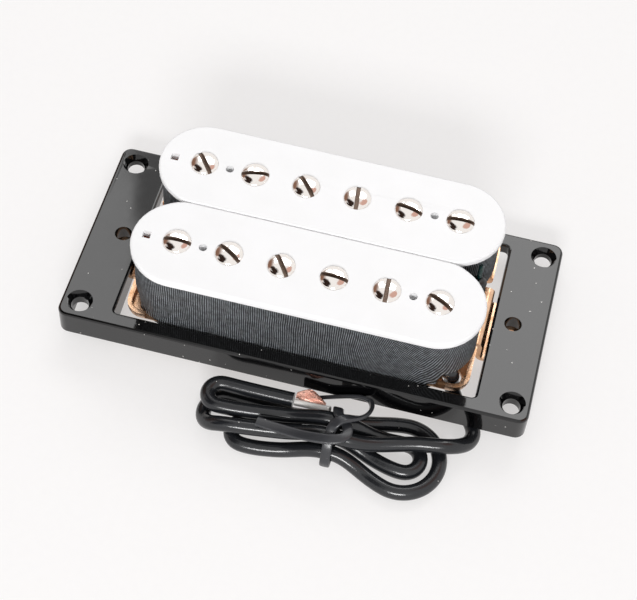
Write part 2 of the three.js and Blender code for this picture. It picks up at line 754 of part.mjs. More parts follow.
// The free stretch from the hole in the baseplate, under the ring's front wall, over the right
// lobes and into the waist
const runPoints = [
  [0, 0, floorUnderside - jointGap],
  [0, 0, floorUnderside - jointGap - exitDrop],
  [0.6, -0.6, 4.3],
  [2.1, -2, 2.3],
  [4.2, -3.9, 1.55],
  [5.8, -5.8, 1.5],
  [6.4, -7.7, 1.55],
  [5.9, -9.8, 2.2],
  [4.4, -11.7, 3.6],
  [2.3, -13, 4.7],
  [-0.2, -13.6, 4.9],
  [-3.1, -14.1, 4.9],
  [-6.6, -15.05, 4.9],
  [-10, -16.1, 5],
  [-13, -16.95, 5.5],
  [-15.4, -17.4, 6.2],
  [-17.8, -17.525, 6.65],
];

// The tie: its square-cut end lies on the left lobes, the strip turns once round the waist and
// crosses itself, and its other end curls back along the ring's front wall.
const tiePoints = [
  [-33.4, -18.7, 7.5],
  [-29.6, -18.3, 7.6],
  [-25.8, -17.9, 8.4],
  [-22.4, -17.5, 9.2],
  [-19.6, -17.1, 9.35],
  [-17.8, -16, 9.35],
  [-17.2, -14.2, 9.2],
  [-17.4, -12.3, 8.4],
  [-17.6, -10.9, 6.4],
  [-17.9, -9.9, 3.7],
  [-18.2, -10.6, 1.5],
  [-18.6, -12.5, 0.8],
  [-19.2, -15.9, 0.8],
  [-19.8, -19.2, 0.8],
  [-20.1, -21.1, 1.5],
  [-20.3, -21.8, 3.4],
  [-20.4, -21, 5.4],
  [-20.4, -20.1, 7.5],
  [-20.2, -19.3, 9.4],
  [-19.8, -17.8, 11.1],
  [-19, -16, 11.4],
  [-17.8, -14, 11.2],
  [-16.4, -12, 10.5],
  [-14.6, -10.4, 8],
  [-13.1, -9, 5.2],
  [-12.5, -8.2, 3.4],
  [-13.6, -8.3, 2.1],
  [-15.7, -8.3, 1.1],
  [-18.5, -8.4, 0.8],
  [-22, -8.5, 0.8],
  [-25.5, -8.6, 0.8],
  [-27.8, -8.7, 0.8],
];

// The core and the teased-out shield at the cut end
const coreEndPoints = [
  [-27.5, -11.3, 4.6],
  [-25, -11.5, 5],
  [-22.5, -11.8, 5.6],
  [-20.6, -12, 6.2],
];
const braidSections = [
  { centre: [-27.5, -10.1, 5.1], half: [0.5, 0.5] },
  { centre: [-26.6, -9.9, 5.3], half: [0.9, 0.5] },
  { centre: [-25.4, -9.6, 5.4], half: [1.3, 0.4] },
  { centre: [-24.4, -9.8, 5.3], half: [1.2, 0.35] },
  { centre: [-23, -10.2, 5.2], half: [0.7, 0.3] },
  { centre: [-21.7, -10.7, 5.1], half: [0.2, 0.2] },
];

// Least gap between stretches of a line that are not neighbours along it
function leastGap(points, diameter) {
  const curve = new THREE.CatmullRomCurve3(points, false, 'centripetal');
  const length = curve.getLength();
  const fine = curve.getSpacedPoints(Math.round(3 * length / diameter));
  const apart = 2 * Math.ceil(2.6 * diameter * (fine.length - 1) / length / 2);
  let least = Infinity;
  fine.forEach((point, index) => {
    for (let other = index + apart; other < fine.length; other += 1) {
      least = Math.min(least, point.distanceTo(fine[other]));
    }
  });
  return least - diameter;
}

// A closed sleeve of oval sections
function braidGeometry() {
  const sides = 8;
  const positions = [];
  const faces = [];
  braidSections.forEach(({ centre, half }) => {
    for (let corner = 0; corner < sides; corner += 1) {
      const angle = 2 * Math.PI * corner / sides;
      const y = centre[1] + half[0] * Math.cos(angle);
      positions.push(centre[0], y, centre[2] + half[1] * Math.sin(angle));
    }
  });
  for (let ring = 0; ring < braidSections.length - 1; ring += 1) {
    for (let corner = 0; corner < sides; corner += 1) {
      const next = (corner + 1) % sides;
      const here = ring * sides;
      const there = here + sides;
      faces.push(here + corner, here + next, there + corner);
      faces.push(here + next, there + next, there + corner);
    }
  }
  const last = (braidSections.length - 1) * sides;
  for (let corner = 1; corner < sides - 1; corner += 1) {
    faces.push(0, corner + 1, corner);
    faces.push(last, last + corner, last + corner + 1);
  }
  const geometry = new THREE.BufferGeometry();
  geometry.setAttribute('position', new THREE.Float32BufferAttribute(positions, 3));
  geometry.setIndex(faces);
  geometry.computeVertexNormals();
  return geometry;
}

function cord() {
  const place = (mesh) => mesh.position.set(cableHoleX, cableHoleY, 0);
  place(addNode('cable_run', tube(runPoints, cableDiameter, 8, 26), blackJacket));
  const hank = lobes.flatMap(lobePoints);
  const start = hank[0];
  const gapStart = start.clone().setX(runPoints[runPoints.length - 1][0] - jointGap);
  const line = [gapStart, ...hank].filter((point, index, all) => (
    index === 0 || point.distanceTo(all[index - 1]) > coincident
  ));
  place(addNode('cable_hank', strandTube(line, cableDiameter, hankSides), blackJacket));
  console.log('hank length', new THREE.CatmullRomCurve3(line).getLength().toFixed(1));
  console.log('run length', new THREE.CatmullRomCurve3(runPoints.map(vector)).getLength().toFixed(1));
  console.log('least gap in the hank', leastGap(line, cableDiameter).toFixed(2));
  const whole = [...runPoints.map(vector), ...line.slice(1)];
  console.log('least gap in the whole cable', leastGap(whole, cableDiameter).toFixed(2));
  place(addNode('cable_tie', tube(tiePoints, tieDiameter, 8, 44), blackJacket));
  place(addNode('core_wire', tube(coreEndPoints, coreDiameter, 8, 6), whiteInsulation));
  place(addNode('shield_braid', braidGeometry(), copper));
}

addNode('mounting_ring', ringGeometry(), blackPlastic);
addNode('baseplate', baseplateGeometry(), brass);
addNode('bar_magnet', magnetGeometry(), magnetGrey);
bobbinAssembly('front');
bobbinAssembly('rear');
poleScrews('front', frontSlotDegrees);
poleScrews('rear', rearSlotDegrees);
bobbinScrews();
cableEntry();
innerLeads();
splice();
cord();

export default group;
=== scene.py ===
# %% [markdown]
# # A guitar pickup in its mounting ring
#
# Two white bobbins stand side by side on a folded brass tray, twelve slotted screws pass through
# them, and a glossy black ring frames them. A black cable leaves the tray through a hole near one
# corner and lies in front of the ring, wound into a small hank and tied with a flat strip.
#
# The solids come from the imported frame, in metres, with +X along the rows of screws, +Z up and the
# cable on the -Y side. This script gives every piece its finish, and builds again, finer, the
# pieces that a plain solid can't show. Blender counts in metres; a number here is in millimetres
# wherever it is multiplied by MM later on.

import math

import bmesh
import bpy
import numpy as np
from mathutils import Matrix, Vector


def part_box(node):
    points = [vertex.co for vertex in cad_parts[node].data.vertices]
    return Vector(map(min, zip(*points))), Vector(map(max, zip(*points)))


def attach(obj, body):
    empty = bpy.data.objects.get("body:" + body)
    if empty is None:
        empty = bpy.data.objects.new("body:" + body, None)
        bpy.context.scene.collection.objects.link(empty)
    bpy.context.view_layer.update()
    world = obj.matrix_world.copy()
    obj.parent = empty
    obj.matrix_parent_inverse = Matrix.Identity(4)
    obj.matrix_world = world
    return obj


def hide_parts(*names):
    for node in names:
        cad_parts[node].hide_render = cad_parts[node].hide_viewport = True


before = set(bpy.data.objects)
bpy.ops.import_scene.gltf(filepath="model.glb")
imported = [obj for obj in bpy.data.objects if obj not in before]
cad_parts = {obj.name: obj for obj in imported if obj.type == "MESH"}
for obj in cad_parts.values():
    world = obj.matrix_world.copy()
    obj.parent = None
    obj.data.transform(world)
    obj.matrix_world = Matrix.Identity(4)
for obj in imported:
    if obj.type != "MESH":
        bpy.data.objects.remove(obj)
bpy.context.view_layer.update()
MM = 0.001

# %% [markdown]
# ## Small helpers
#
# Colours are written as the sRGB hex codes that a colour picker shows, and one function turns them
# into the linear values that the renderer adds up. Another adds a node with its settings, its
# values and its links, so that a material reads as a short list of nodes. Materials could be built
# by hand in the node editor as well, but a list in code can be read, changed and run again.

# %% Colour and node helpers


def linear(code):
    """Each channel c of the hex code becomes c/12.92 up to 0.04045, and ((c + 0.055)/1.055)^2.4 above
    it. The fourth value is full cover."""
    c = np.array([int(code[i : i + 2], 16) for i in (1, 3, 5)]) / 255
    c = np.where(c <= 0.04045, c / 12.92, ((c + 0.055) / 1.055) ** 2.4)
    return (*c.tolist(), 1.0)


def add(tree, kind, values=None, links=None, into=None, **settings):
    """A node with its settings, the values on its sockets and the links into them. Where into is a
    socket of another node, the node's result goes there."""
    node = tree.nodes.new(kind)
    for key, value in settings.items():
        setattr(node, key, value)
    for socket, value in (values or {}).items():
        node.inputs[socket].default_value = value
    for socket, source in (links or {}).items():
        tree.links.new(source, node.inputs[socket])
    if into is not None:
        tree.links.new([output for output in node.outputs if output.enabled][0], into)
    return node


def start_material(name, colour, **values):
    """A shader with its uniform values on its own sockets, and the piece's Object coordinates in
    millimetres, so that a noise of scale s has grains about 1/s mm wide."""
    material = bpy.data.materials.new(name)
    material.use_nodes = True
    material.diffuse_color = linear(colour)
    tree = material.node_tree
    tree.nodes.clear()
    settings = {"Base Color": linear(colour)}
    settings.update({key.replace("_", " "): value for key, value in values.items()})
    shader = add(tree, "ShaderNodeBsdfPrincipled", settings)
    add(tree, "ShaderNodeOutputMaterial", links={"Surface": shader.outputs[0]})
    coords = add(tree, "ShaderNodeTexCoord")
    in_mm = {"Scale": (1 / MM, 1 / MM, 1 / MM)}
    scaled = add(tree, "ShaderNodeMapping", in_mm, {"Vector": coords.outputs["Object"]})
    return material, tree, shader, scaled.outputs[0]


print("a mid grey of #808080 is", round(linear("#808080")[0], 3), "in linear light")

# %% [markdown]
# ## The camera
#
# The photograph was taken from the front at about 58 degrees above the table with a long lens, and
# the camera was tilted a little to one side. A camera could be moved by hand until the picture
# fits; this one was solved from 22 points of the pickup and 9 of the hank, so that sizes can be
# trusted. The focal length is in pixels of the image, which is 637 by 600 pixels.

# %% Camera
PHOTO_WIDTH = 637
FOCAL_PIXELS = 1806.84
SENSOR_MM = 36.0
camera_place = np.array([34.219, -188.335, 302.0]) * MM
camera_ahead = np.array([-0.0935, 0.52676, -0.84486])
camera_up = np.array([-0.22659, 0.81505, 0.53325])
camera_right = np.cross(camera_ahead, camera_up)
camera_right /= np.linalg.norm(camera_right)
camera_up = np.cross(camera_right, camera_ahead)

camera = bpy.data.objects.new("camera", bpy.data.cameras.new("camera"))
bpy.context.scene.collection.objects.link(camera)
turn = np.eye(4)
turn[:3, 0] = camera_right
turn[:3, 1] = camera_up
turn[:3, 2] = -camera_ahead / np.linalg.norm(camera_ahead)
turn[:3, 3] = camera_place
camera.matrix_world = Matrix(turn.tolist())
camera.data.sensor_fit = "HORIZONTAL"
camera.data.sensor_width = SENSOR_MM
camera.data.lens = FOCAL_PIXELS / PHOTO_WIDTH * SENSOR_MM
camera.data.clip_start = 0.01
camera.data.clip_end = 20
bpy.context.scene.camera = camera
camera_distance = float(np.linalg.norm(camera_place)) / MM
print("lens", round(camera.data.lens, 1), "mm at", round(camera_distance), "mm from the origin")

# %% [markdown]
# ## Shading of a mesh
#
# A mesh shows flat faces until its shading is made smooth, and then its real edges look soft. So
# shading is smooth everywhere but over edges that are sharper than an angle, which every piece
# chooses for itself.

# %% Shading helper


def finish_mesh(thing, angle):
    """Faces are turned outwards, and shading is smooth except over edges sharper than the angle."""
    shape = bmesh.new()
    shape.from_mesh(thing.data)
    bmesh.ops.remove_doubles(shape, verts=shape.verts, dist=1e-7)
    bmesh.ops.recalc_face_normals(shape, faces=shape.faces)
    shape.to_mesh(thing.data)
    shape.free()
    thing.data.polygons.foreach_set("use_smooth", [True] * len(thing.data.polygons))
    thing.data.set_sharp_from_angle(angle=math.radians(angle))
    return thing


print("finish_mesh() is ready")

# %% [markdown]
# ## Surfaces from grids
#
# A new piece is a grid of points worked out in one go. `surface` joins each point to its neighbours
# along both directions of the grid and closes the ends where they are open. Curves with a bevel or
# modelling by hand would do too, but a grid from a formula keeps real lengths, and these go into
# the UV map for the patterns.

# %% Surface helper


def surface(name, points, angle, ends=False, along=None, around=None):
    """points[i, j] are joined to points[i + 1, j] and points[i, j + 1], and the last column to the
    first; ends closes the first and the last row with a fan. along and around are UV values."""
    rows, columns = points.shape[:2]
    i, j = np.meshgrid(np.arange(rows - 1), np.arange(columns), indexing="ij")
    following = (j + 1) % columns
    here, below = i * columns, (i + 1) * columns
    corners = np.stack([here + j, here + following, below + following, below + j], -1)
    vertices = points.reshape(-1, 3)
    faces = corners.reshape(-1, 4).tolist()
    along = np.linspace(0, 1, rows) if along is None else np.asarray(along)
    around = np.linspace(0, 1, columns + 1) if around is None else np.asarray(around)
    if along.ndim == 1:
        along = np.repeat(along[:, None], columns + 1, 1)
    u = np.stack([along[i, j], along[i, j + 1], along[i + 1, j + 1], along[i + 1, j]], -1).reshape(-1)
    v = np.stack([around[j], around[j + 1], around[j + 1], around[j]], -1).reshape(-1)
    if ends:
        middle = np.array([points[0].mean(0), points[-1].mean(0)])
        base = len(vertices)
        vertices = np.vstack([vertices, middle])
        edge = np.arange(columns)
        after = (edge + 1) % columns
        last = (rows - 1) * columns
        faces += np.stack([after, edge, np.full(columns, base)], -1).tolist()
        faces += np.stack([last + edge, last + after, np.full(columns, base + 1)], -1).tolist()
        u = np.concatenate([u, np.full(3 * columns, along[0, 0]), np.full(3 * columns, along[-1, 0])])
        v = np.concatenate([v, np.zeros(6 * columns)])
    mesh = bpy.data.meshes.new(name)
    mesh.from_pydata(vertices.tolist(), [], faces)
    layer = mesh.uv_layers.new(name="surface")
    layer.data.foreach_set("uv", np.stack([u, v], -1).astype(np.float32).ravel())
    thing = bpy.data.objects.new(name, mesh)
    bpy.context.scene.collection.objects.link(thing)
    return finish_mesh(thing, angle)


print("surface() is ready")

# %% [markdown]
# ## Lines
#
# A path is typed as a few points that were read off the photograph. A Bezier curve would need
# handles set by hand at each of them; this curve goes through all of them by itself.

# %% Line helpers


def through(points, step):
    """A centripetal Catmull-Rom curve through the points, as a line of points about one step apart:
    each stretch is a cubic whose end slopes follow from the square roots of the distances around it."""
    p = np.asarray(points, float)
    p = np.vstack([2 * p[0] - p[1], p, 2 * p[-1] - p[-2]])
    knots = np.sqrt(np.linalg.norm(np.diff(p, axis=0), axis=1))
    pieces = []
    for before, here, after, p0, p1, p2, p3 in zip(knots, knots[1:], knots[2:], p, p[1:], p[2:], p[3:]):
        slope1 = ((p1 - p0) / before - (p2 - p0) / (before + here) + (p2 - p1) / here) * here
        slope2 = ((p2 - p1) / here - (p3 - p1) / (here + after) + (p3 - p2) / after) * here
        t = np.linspace(0, 1, max(2, int(here**2 / step) + 2))[:-1, None]
        pieces.append(
            (2 * t**3 - 3 * t**2 + 1) * p1
            + (t**3 - 2 * t**2 + t) * slope1
            + (3 * t**2 - 2 * t**3) * p2
            + (t**3 - t**2) * slope2
        )
    return np.vstack(pieces + [p[-2:-1]])


def evenly(line, step):
    """The same line with its points an equal length apart."""
    length = np.concatenate([[0], np.cumsum(np.linalg.norm(np.diff(line, axis=0), axis=1))])
    wanted = np.linspace(0, length[-1], int(round(length[-1] / step)) + 1)
    return np.stack([np.interp(wanted, length, line[:, k]) for k in range(3)], -1)


corner = through([[0, 0, 0], [10, 0, 0], [10, 10, 0]], 0.5)
print("a curve round a corner has", len(corner), "points")

# %% [markdown]
# ## Tubes
#
# A tube is a section carried along a path, so its grid is the path's point plus the section's. The
# directions across the path turn as little as possible, as a real cord's do, or follow guides
# where a flat strip has to lie flat.

# %% Tube helpers


def directions(line, side=(0, 0, 1), guides=None):
    """Unit vectors along the line, and two across it. The first one across is carried on from point
    to point with the least turning, or follows the guides where they are given."""
    ahead = np.gradient(line, axis=0)
    ahead /= np.linalg.norm(ahead, axis=1, keepdims=True)
    if guides is None:
        across = np.zeros_like(line)
        current = np.asarray(side, float)
        for k, direction in enumerate(ahead):
            current = current - current.dot(direction) * direction
            current = current / np.linalg.norm(current)
            across[k] = current
    else:
        across = guides - np.sum(guides * ahead, 1, keepdims=True) * ahead
        across /= np.linalg.norm(across, axis=1, keepdims=True)
    return ahead, across, np.cross(ahead, across)


def tube(name, line, section, side=(0, 0, 1), guides=None, angle=35):
    """section[j] gives the offsets in the two directions across the line; each grid point is the
    line's point plus both offsets."""
    ahead, first, second = directions(line, side, guides)
    points = line[:, None] + first[:, None] * section[..., :1] + second[:, None] * section[..., 1:]
    length = np.concatenate([[0], np.cumsum(np.linalg.norm(np.diff(line, axis=0), axis=1))])
    return surface(name, points, angle, ends=True, along=length)


def ring_section(diameter, sides):
    """A circle: (cos a, sin a) times half the diameter."""
    a = np.linspace(0, 2 * np.pi, sides, endpoint=False)
    return np.stack([np.cos(a), np.sin(a)], -1) * diameter / 2


print("directions() and tube() are ready")

# %% [markdown]
# ## The cable's route
#
# The cable is 2.9 mm thick, limp and glossy. It drops through the tray's hole, passes under the
# front wall of the ring, climbs over the right-hand loops and enters the waist of the hank. From
# there it goes out and back in five lobes, and its cut end lies on the far side of the left loops.
# Cloth or rope physics could drop such a cable, but it would never fall into the same loops as in
# the photograph, so its route is drawn.
#
# The first stretch, from the hole to the waist, goes through points that were read off the photo.

# %% Run from the hole
CABLE = 2.9
HOLE = np.array([30.0, -14.8, 0.0])
RUN_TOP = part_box("cable_run")[1].z / MM
# x, y and z of each point, in mm from the place on the table below the hole
run_points = np.array(
    [
        [0, 0, RUN_TOP],
        [0, 0, RUN_TOP - 0.9],
        [0.6, -0.6, 4.3],
        [2.1, -2, 2.3],
        [4.2, -3.9, 1.55],
        [5.8, -5.8, 1.5],
        [6.4, -7.7, 1.55],
        [5.9, -9.8, 2.2],
        [4.4, -11.7, 3.6],
        [2.3, -13, 4.7],
        [-0.2, -13.6, 4.9],
        [-3.1, -14.1, 4.9],
        [-6.6, -15.05, 4.9],
        [-10, -16.1, 5],
        [-13, -16.95, 5.5],
        [-15.4, -17.4, 6.2],
        [-17.8, -17.525, 6.65],
    ]
)
run_line = through(run_points, 0.3)
print("the run goes through", len(run_points), "points")

# %% [markdown]
# The hank has a waist with five places for the cable, three low and two high, and five lobes that
# go out from there to the left and to the right. Each lobe is one row of a table, so that it can
# be set against the photograph on its own.

# %% Waist and lobes
PITCH = 3.4
WAIST_X, WAIST_Y = -19.5, -15.85
# how high the waist is lifted, how far off the lift has faded out, and half of its straight length
WAIST_LIFT, WAIST_SPREAD, WAIST_HALF = 1.8, 9.0, 1.4
LOW = CABLE / 2 + 0.05
HIGH = LOW + PITCH
slots = {
    "low_far": (WAIST_Y + PITCH, LOW),
    "low_middle": (WAIST_Y, LOW),
    "low_near": (WAIST_Y - PITCH, LOW),
    "high_far": (WAIST_Y + PITCH / 2, HIGH),
    "high_near": (WAIST_Y - PITCH / 2, HIGH),
}
JACKET_END = np.array([-27.8, -11.15])
# where each starts and ends, its side, centre and radius of its arc, its sense of turn, degrees of
# arc before and after the tip, shares of its length where the climb starts and ends, and degrees
# of slant at the start
lobes = [
    ("high_near", "low_far", -1, (-40.4, -15.75), 3.65, -1, 90, 92, 0.24, 0.47, 0),
    ("low_far", "low_near", 1, (-5.5, -16.1), 7.05, -1, 96, 108, 0, 1, 20),
    ("low_near", "low_middle", -1, (-35.4, -18.45), 2.55, -1, 84, 90, 0, 1, 0),
    ("low_middle", "high_far", 1, (-5, -15.9), 2.95, 1, 92, 88, 0.76, 0.99, 0),
    ("high_far", None, -1, (-41.4, -13.55), 2.45, -1, 90, 92, 0, 1, 0),
]
print(len(lobes), "lobes from", len(slots), "places in the waist")

# %% [markdown]
# A lobe leaves its place on a cubic curve, runs round an arc and comes back on another cubic curve,
# and it changes level by a smooth step. The waist is lifted, because the strands and the tie are
# pressed together there.

# %% Shape of a lobe


def smooth_step(share):
    """Three times the square less two times the cube of the share, which is kept from 0 to 1."""
    share = np.clip(share, 0, 1)
    return share * share * (3 - 2 * share)


def branch(start, start_heading, end, end_heading, count):
    """A cubic Bezier curve whose handles are a third of the chord."""
    reach = np.linalg.norm(end - start) / 3
    first = start + start_heading * reach
    second = end - end_heading * reach
    t = np.linspace(0, 1, count + 1)[:, None]
    return (1 - t) ** 3 * start + 3 * (1 - t) ** 2 * t * first + 3 * (1 - t) * t**2 * second + t**3 * end


def lobe_points(start_slot, end_slot, side, centre, radius, turn, before, after, climb0, climb1, slant):
    """A cubic out, an arc of (cos a, sin a) times the radius, and a cubic back; the height is the start's
    plus the climb's smooth step, plus the lift of the waist."""
    arc_steps, branch_steps = 40, 28
    outward = 0 if side > 0 else math.pi
    a0 = outward - turn * math.radians(before)
    a1 = outward + turn * math.radians(after)
    angle = np.linspace(a0, a1, arc_steps + 1)
    arc = np.array(centre) + radius * np.stack([np.cos(angle), np.sin(angle)], -1)
    start = np.array([WAIST_X + side * WAIST_HALF, slots[start_slot][0]])
    end = np.array([WAIST_X + side * WAIST_HALF, slots[end_slot][0]]) if end_slot else JACKET_END
    tilt = math.radians(slant)
    leaving = side * np.array([math.cos(tilt), math.sin(tilt)])
    into_arc, out_of_arc = [turn * np.array([-math.sin(a), math.cos(a)]) for a in (a0, a1)]
    out = branch(start, leaving, arc[0], into_arc, branch_steps)
    back = branch(arc[-1], out_of_arc, end, np.array([-side, 0.0]), branch_steps)
    flat = np.vstack([out, arc[1:], back[1:]])
    share = np.linspace(0, 1, len(flat))
    z0 = slots[start_slot][1]
    z1 = slots[end_slot][1] if end_slot else z0
    climb = smooth_step((share - climb0) / (climb1 - climb0))
    lift = WAIST_LIFT * smooth_step(1 - np.abs(flat[:, 0] - WAIST_X) / WAIST_SPREAD)
    return np.column_stack([flat, z0 + (z1 - z0) * climb + lift])


hank = np.vstack([lobe_points(*lobe) for lobe in lobes])
print("the hank is a line of", len(hank), "points")

# %% [markdown]
# Both stretches become one even line. The last three points of the run are left out, so that it
# flows into the hank, and small kinks at the joins are eased: each point moves to the mean of
# itself, twice, and its two neighbours.

# %% Whole route
EASING_ROUNDS = 6
route = evenly(np.vstack([run_line[:-3], hank]), 0.35)
for _ in range(EASING_ROUNDS):
    route[1:-1] = (route[:-2] + 2 * route[1:-1] + route[2:]) / 4
route = (evenly(route, 0.5) + HOLE) * MM

# %% [markdown]
# ## The jacket
#
# Soft PVC, extruded: black right through, with a wet-looking gloss, a faint streakiness along its
# length where the die left its mark, and a few specks of dust.
#
# Dust could be a scatter of tiny meshes; a pattern in the colour costs nothing and stays on the
# surface. It is used on the ring as well.

# %% Dust
DUST_SPACING = 1.6


def add_dust(tree, place, shader, share, grain):
    """White specks: one possible speck in each cell of a Voronoi pattern, kept where the cell's own
    random value is below the share, and drawn where the distance to the cell's point is less than
    the grain. The clean colour goes into socket A of the node that comes back."""
    scale = {"Scale": 1 / DUST_SPACING}
    cells = add(tree, "ShaderNodeTexVoronoi", scale, {"Vector": place}, feature="F1")
    near = add(
        tree,
        "ShaderNodeMath",
        {1: grain / DUST_SPACING},
        {0: cells.outputs["Distance"]},
        operation="LESS_THAN",
    )
    parts = add(tree, "ShaderNodeSeparateColor", links={0: cells.outputs["Color"]})
    chosen = add(tree, "ShaderNodeMath", {1: share}, {0: parts.outputs[0]}, operation="LESS_THAN")
    speck = add(
        tree,
        "ShaderNodeMath",
        links={0: near.outputs[0], 1: chosen.outputs[0]},
        operation="MULTIPLY",
    )
    return add(
        tree,
        "ShaderNodeMix",
        {"B": linear("#D9D6D2")},
        {"Factor": speck.outputs[0]},
        shader.inputs["Base Color"],
        data_type="RGBA",
    )


print("specks at most every", DUST_SPACING, "mm")

# %% [markdown]
# The streaks read the piece's UV, whose first value is the real length along the cord, so that they
# run along it round every bend. One function makes this finish in three colours.

# %% PVC jacket


def vinyl(name, colour, streak, roughness):
    """Extruded PVC: nearly black, and what the eye sees is its gloss. Streaks of a paler tone run about
    17 mm along the cord, nine of them round it, and a fine bump of 0.7 mm breaks the reflections."""
    material, tree, shader, place = start_material(name, colour, Roughness=roughness, IOR=1.53)
    uv = add(tree, "ShaderNodeUVMap", uv_map="surface")
    stretched = add(tree, "ShaderNodeMapping", {"Scale": (60, 9, 1)}, {"Vector": uv.outputs[0]})
    noise = {"Scale": 1.0, "Detail": 3.0}
    streaks = add(tree, "ShaderNodeTexNoise", noise, {"Vector": stretched.outputs[0]})
    tones = {"A": linear(colour), "B": linear(streak)}
    dust = add_dust(tree, place, shader, share=0.12, grain=0.1)
    add(tree, "ShaderNodeMix", tones, {"Factor": streaks.outputs[0]}, dust.inputs["A"], data_type="RGBA")
    fine = add(tree, "ShaderNodeTexNoise", {"Scale": 1.4, "Detail": 2.0}, {"Vector": place})
    relief = {"Distance": 0.05 * MM, "Strength": 0.35}
    add(tree, "ShaderNodeBump", relief, {"Height": fine.outputs[0]}, shader.inputs["Normal"])
    return material


jacket_vinyl = vinyl("pvc_jacket_extruded", "#101113", "#24262A", 0.2)
print("material", jacket_vinyl.name)

# %% The cable
cable = tube("cable", route, ring_section(CABLE * MM, 28))
cable.data.materials.append(jacket_vinyl)
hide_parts("cable_run", "cable_hank")
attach(cable, "pickup")
print("cable faces", len(cable.data.polygons))

# %% [markdown]
# ## The cut end
#
# At the cut end the jacket stops square. The shield, a braid of fine copper wires, is pushed
# together and folded to a flat fan, and the white insulated core lies beside it.

# %% Core
core_points = np.array(
    [[-27.5, -11.3, 4.6], [-25, -11.5, 5], [-22.5, -11.8, 5.6], [-20.6, -12, 6.2]]
)
core_line = evenly(through((core_points + HOLE) * MM, 0.3 * MM), 0.3 * MM)
core = tube("core", core_line, ring_section(1.3 * MM, 20))
print("core of", len(core_line), "points")

# %% [markdown]
# A braid could be woven wire by wire, but at this size a few hundred crossings would be a blur.
# It is a flattened sleeve, six stations long, whose surface is dented by two crossing sets of
# waves, one for each direction of the weave.

# %% Braid
WEAVE_WAVES, WEAVE_LEAN, WEAVE_DEPTH = 9, 5.5, 0.05
stations = np.arange(6)
braid_middle = np.array(
    [
        [-27.5, -10.1, 5.1],
        [-26.6, -9.9, 5.3],
        [-25.4, -9.6, 5.4],
        [-24.4, -9.8, 5.3],
        [-23, -10.2, 5.2],
        [-21.7, -10.7, 5.1],
    ]
)
# half its width and half its height at each station
braid_half = np.array([[0.5, 0.5], [0.9, 0.5], [1.3, 0.4], [1.2, 0.35], [0.7, 0.3], [0.2, 0.2]])
share = np.linspace(0, 5, 61)  # ten sections from each station to the next
middle = np.stack([np.interp(share, stations, braid_middle[:, k]) for k in range(3)], -1)
half = np.stack([np.interp(share, stations, braid_half[:, k]) for k in range(2)], -1)
a = np.linspace(0, 2 * np.pi, 48, endpoint=False)
# the depth times the sine of one set of waves times the sine of the other
lean = WEAVE_LEAN * share[:, None]
weave = WEAVE_DEPTH * np.sin(WEAVE_WAVES * a[None] + lean) * np.sin(WEAVE_WAVES * a[None] - lean)
braid_points = np.stack(
    [
        np.broadcast_to(middle[:, :1], weave.shape),
        middle[:, 1:2] + (half[:, :1] + weave) * np.cos(a),
        middle[:, 2:3] + (half[:, 1:] + weave) * np.sin(a),
    ],
    -1,
)
waves_round = np.linspace(0, WEAVE_WAVES, 49)
braid_grid = (braid_points + HOLE) * MM
braid = surface("braid", braid_grid, angle=80, ends=True, around=waves_round)
print("braid faces", len(braid.data.polygons))

# %% [markdown]
# Single wires stand off the sleeve: fourteen thin tubes side by side on its upper side, each 0.05 to
# 0.11 mm above it and astray by a few per cent of the width. They become one mesh.

# %% Loose wires
WIRES = 14
WIRE_THICKNESS = 0.14
rng = np.random.default_rng(7)
wire_meshes = []
for number in range(WIRES):
    side_share = -1 + 2 * number / (WIRES - 1)
    along = np.array([0.1, 1.4, 2.6, 3.8, 4.6 + 0.6 * rng.random()])
    centre = np.stack([np.interp(along, stations, braid_middle[:, k]) for k in range(3)], -1)
    width = np.interp(along, stations, braid_half[:, 0])
    centre[:, 1] += side_share * width * (1 + 0.06 * rng.standard_normal(5))
    centre[:, 2] += 0.42 * np.sqrt(1 - side_share**2) + 0.05 + 0.06 * rng.random(5)
    line = evenly(through((centre + HOLE) * MM, 0.3 * MM), 0.3 * MM)
    wire_meshes.append(tube("braid_wire_%d" % number, line, ring_section(WIRE_THICKNESS * MM, 6)))


def join(name, things):
    """Several meshes become one, and their points keep their places."""
    shape = bmesh.new()
    for thing in things:
        shape.from_mesh(thing.data)
        old = thing.data
        bpy.data.objects.remove(thing)
        bpy.data.meshes.remove(old)
    mesh = bpy.data.meshes.new(name)
    shape.to_mesh(mesh)
    shape.free()
    joined = bpy.data.objects.new(name, mesh)
    bpy.context.scene.collection.objects.link(joined)
    return joined


braid_wires = join("braid_wires", wire_meshes)
print(WIRES, "loose wires")

# %% [markdown]
# The wires are drawn copper, bare and a little bright, and the gaps between them are painted dark as painted
# shade. The core's insulation is polythene, white and slightly waxy. A metal gets its colour from the
# reflection, so copper has Metallic 1 and a pale base colour; polythene has neither.

# %% Copper and polythene
# Drawn copper: salmon pink in two tones mixed in patches of about 1 mm, and painted nearly black in the gaps
# of the mesh, which are 0.4 mm wide, as painted shade between the wires; the wires' own grain is drawn at 0.1
# mm.
copper, tree, shader, place = start_material("copper_wire_drawn", "#C57A60", Metallic=1.0, Roughness=0.34)
patches = add(tree, "ShaderNodeTexNoise", {"Scale": 1.1, "Detail": 4.0}, {"Vector": place})
tones = {"A": linear("#F0A48C"), "B": linear("#FFDCCD")}
wires = add(tree, "ShaderNodeMix", tones, {"Factor": patches.outputs[0]}, data_type="RGBA")
holes = add(tree, "ShaderNodeTexVoronoi", {"Scale": 2.6}, {"Vector": place}, feature="DISTANCE_TO_EDGE")
span = {"From Min": 0.05, "From Max": 0.3}
open_mesh = add(tree, "ShaderNodeMapRange", span, {"Value": holes.outputs[0]})
both = {0: open_mesh.outputs[0], 1: patches.outputs[0]}
gap_shade = add(tree, "ShaderNodeMath", links=both, operation="MULTIPLY")
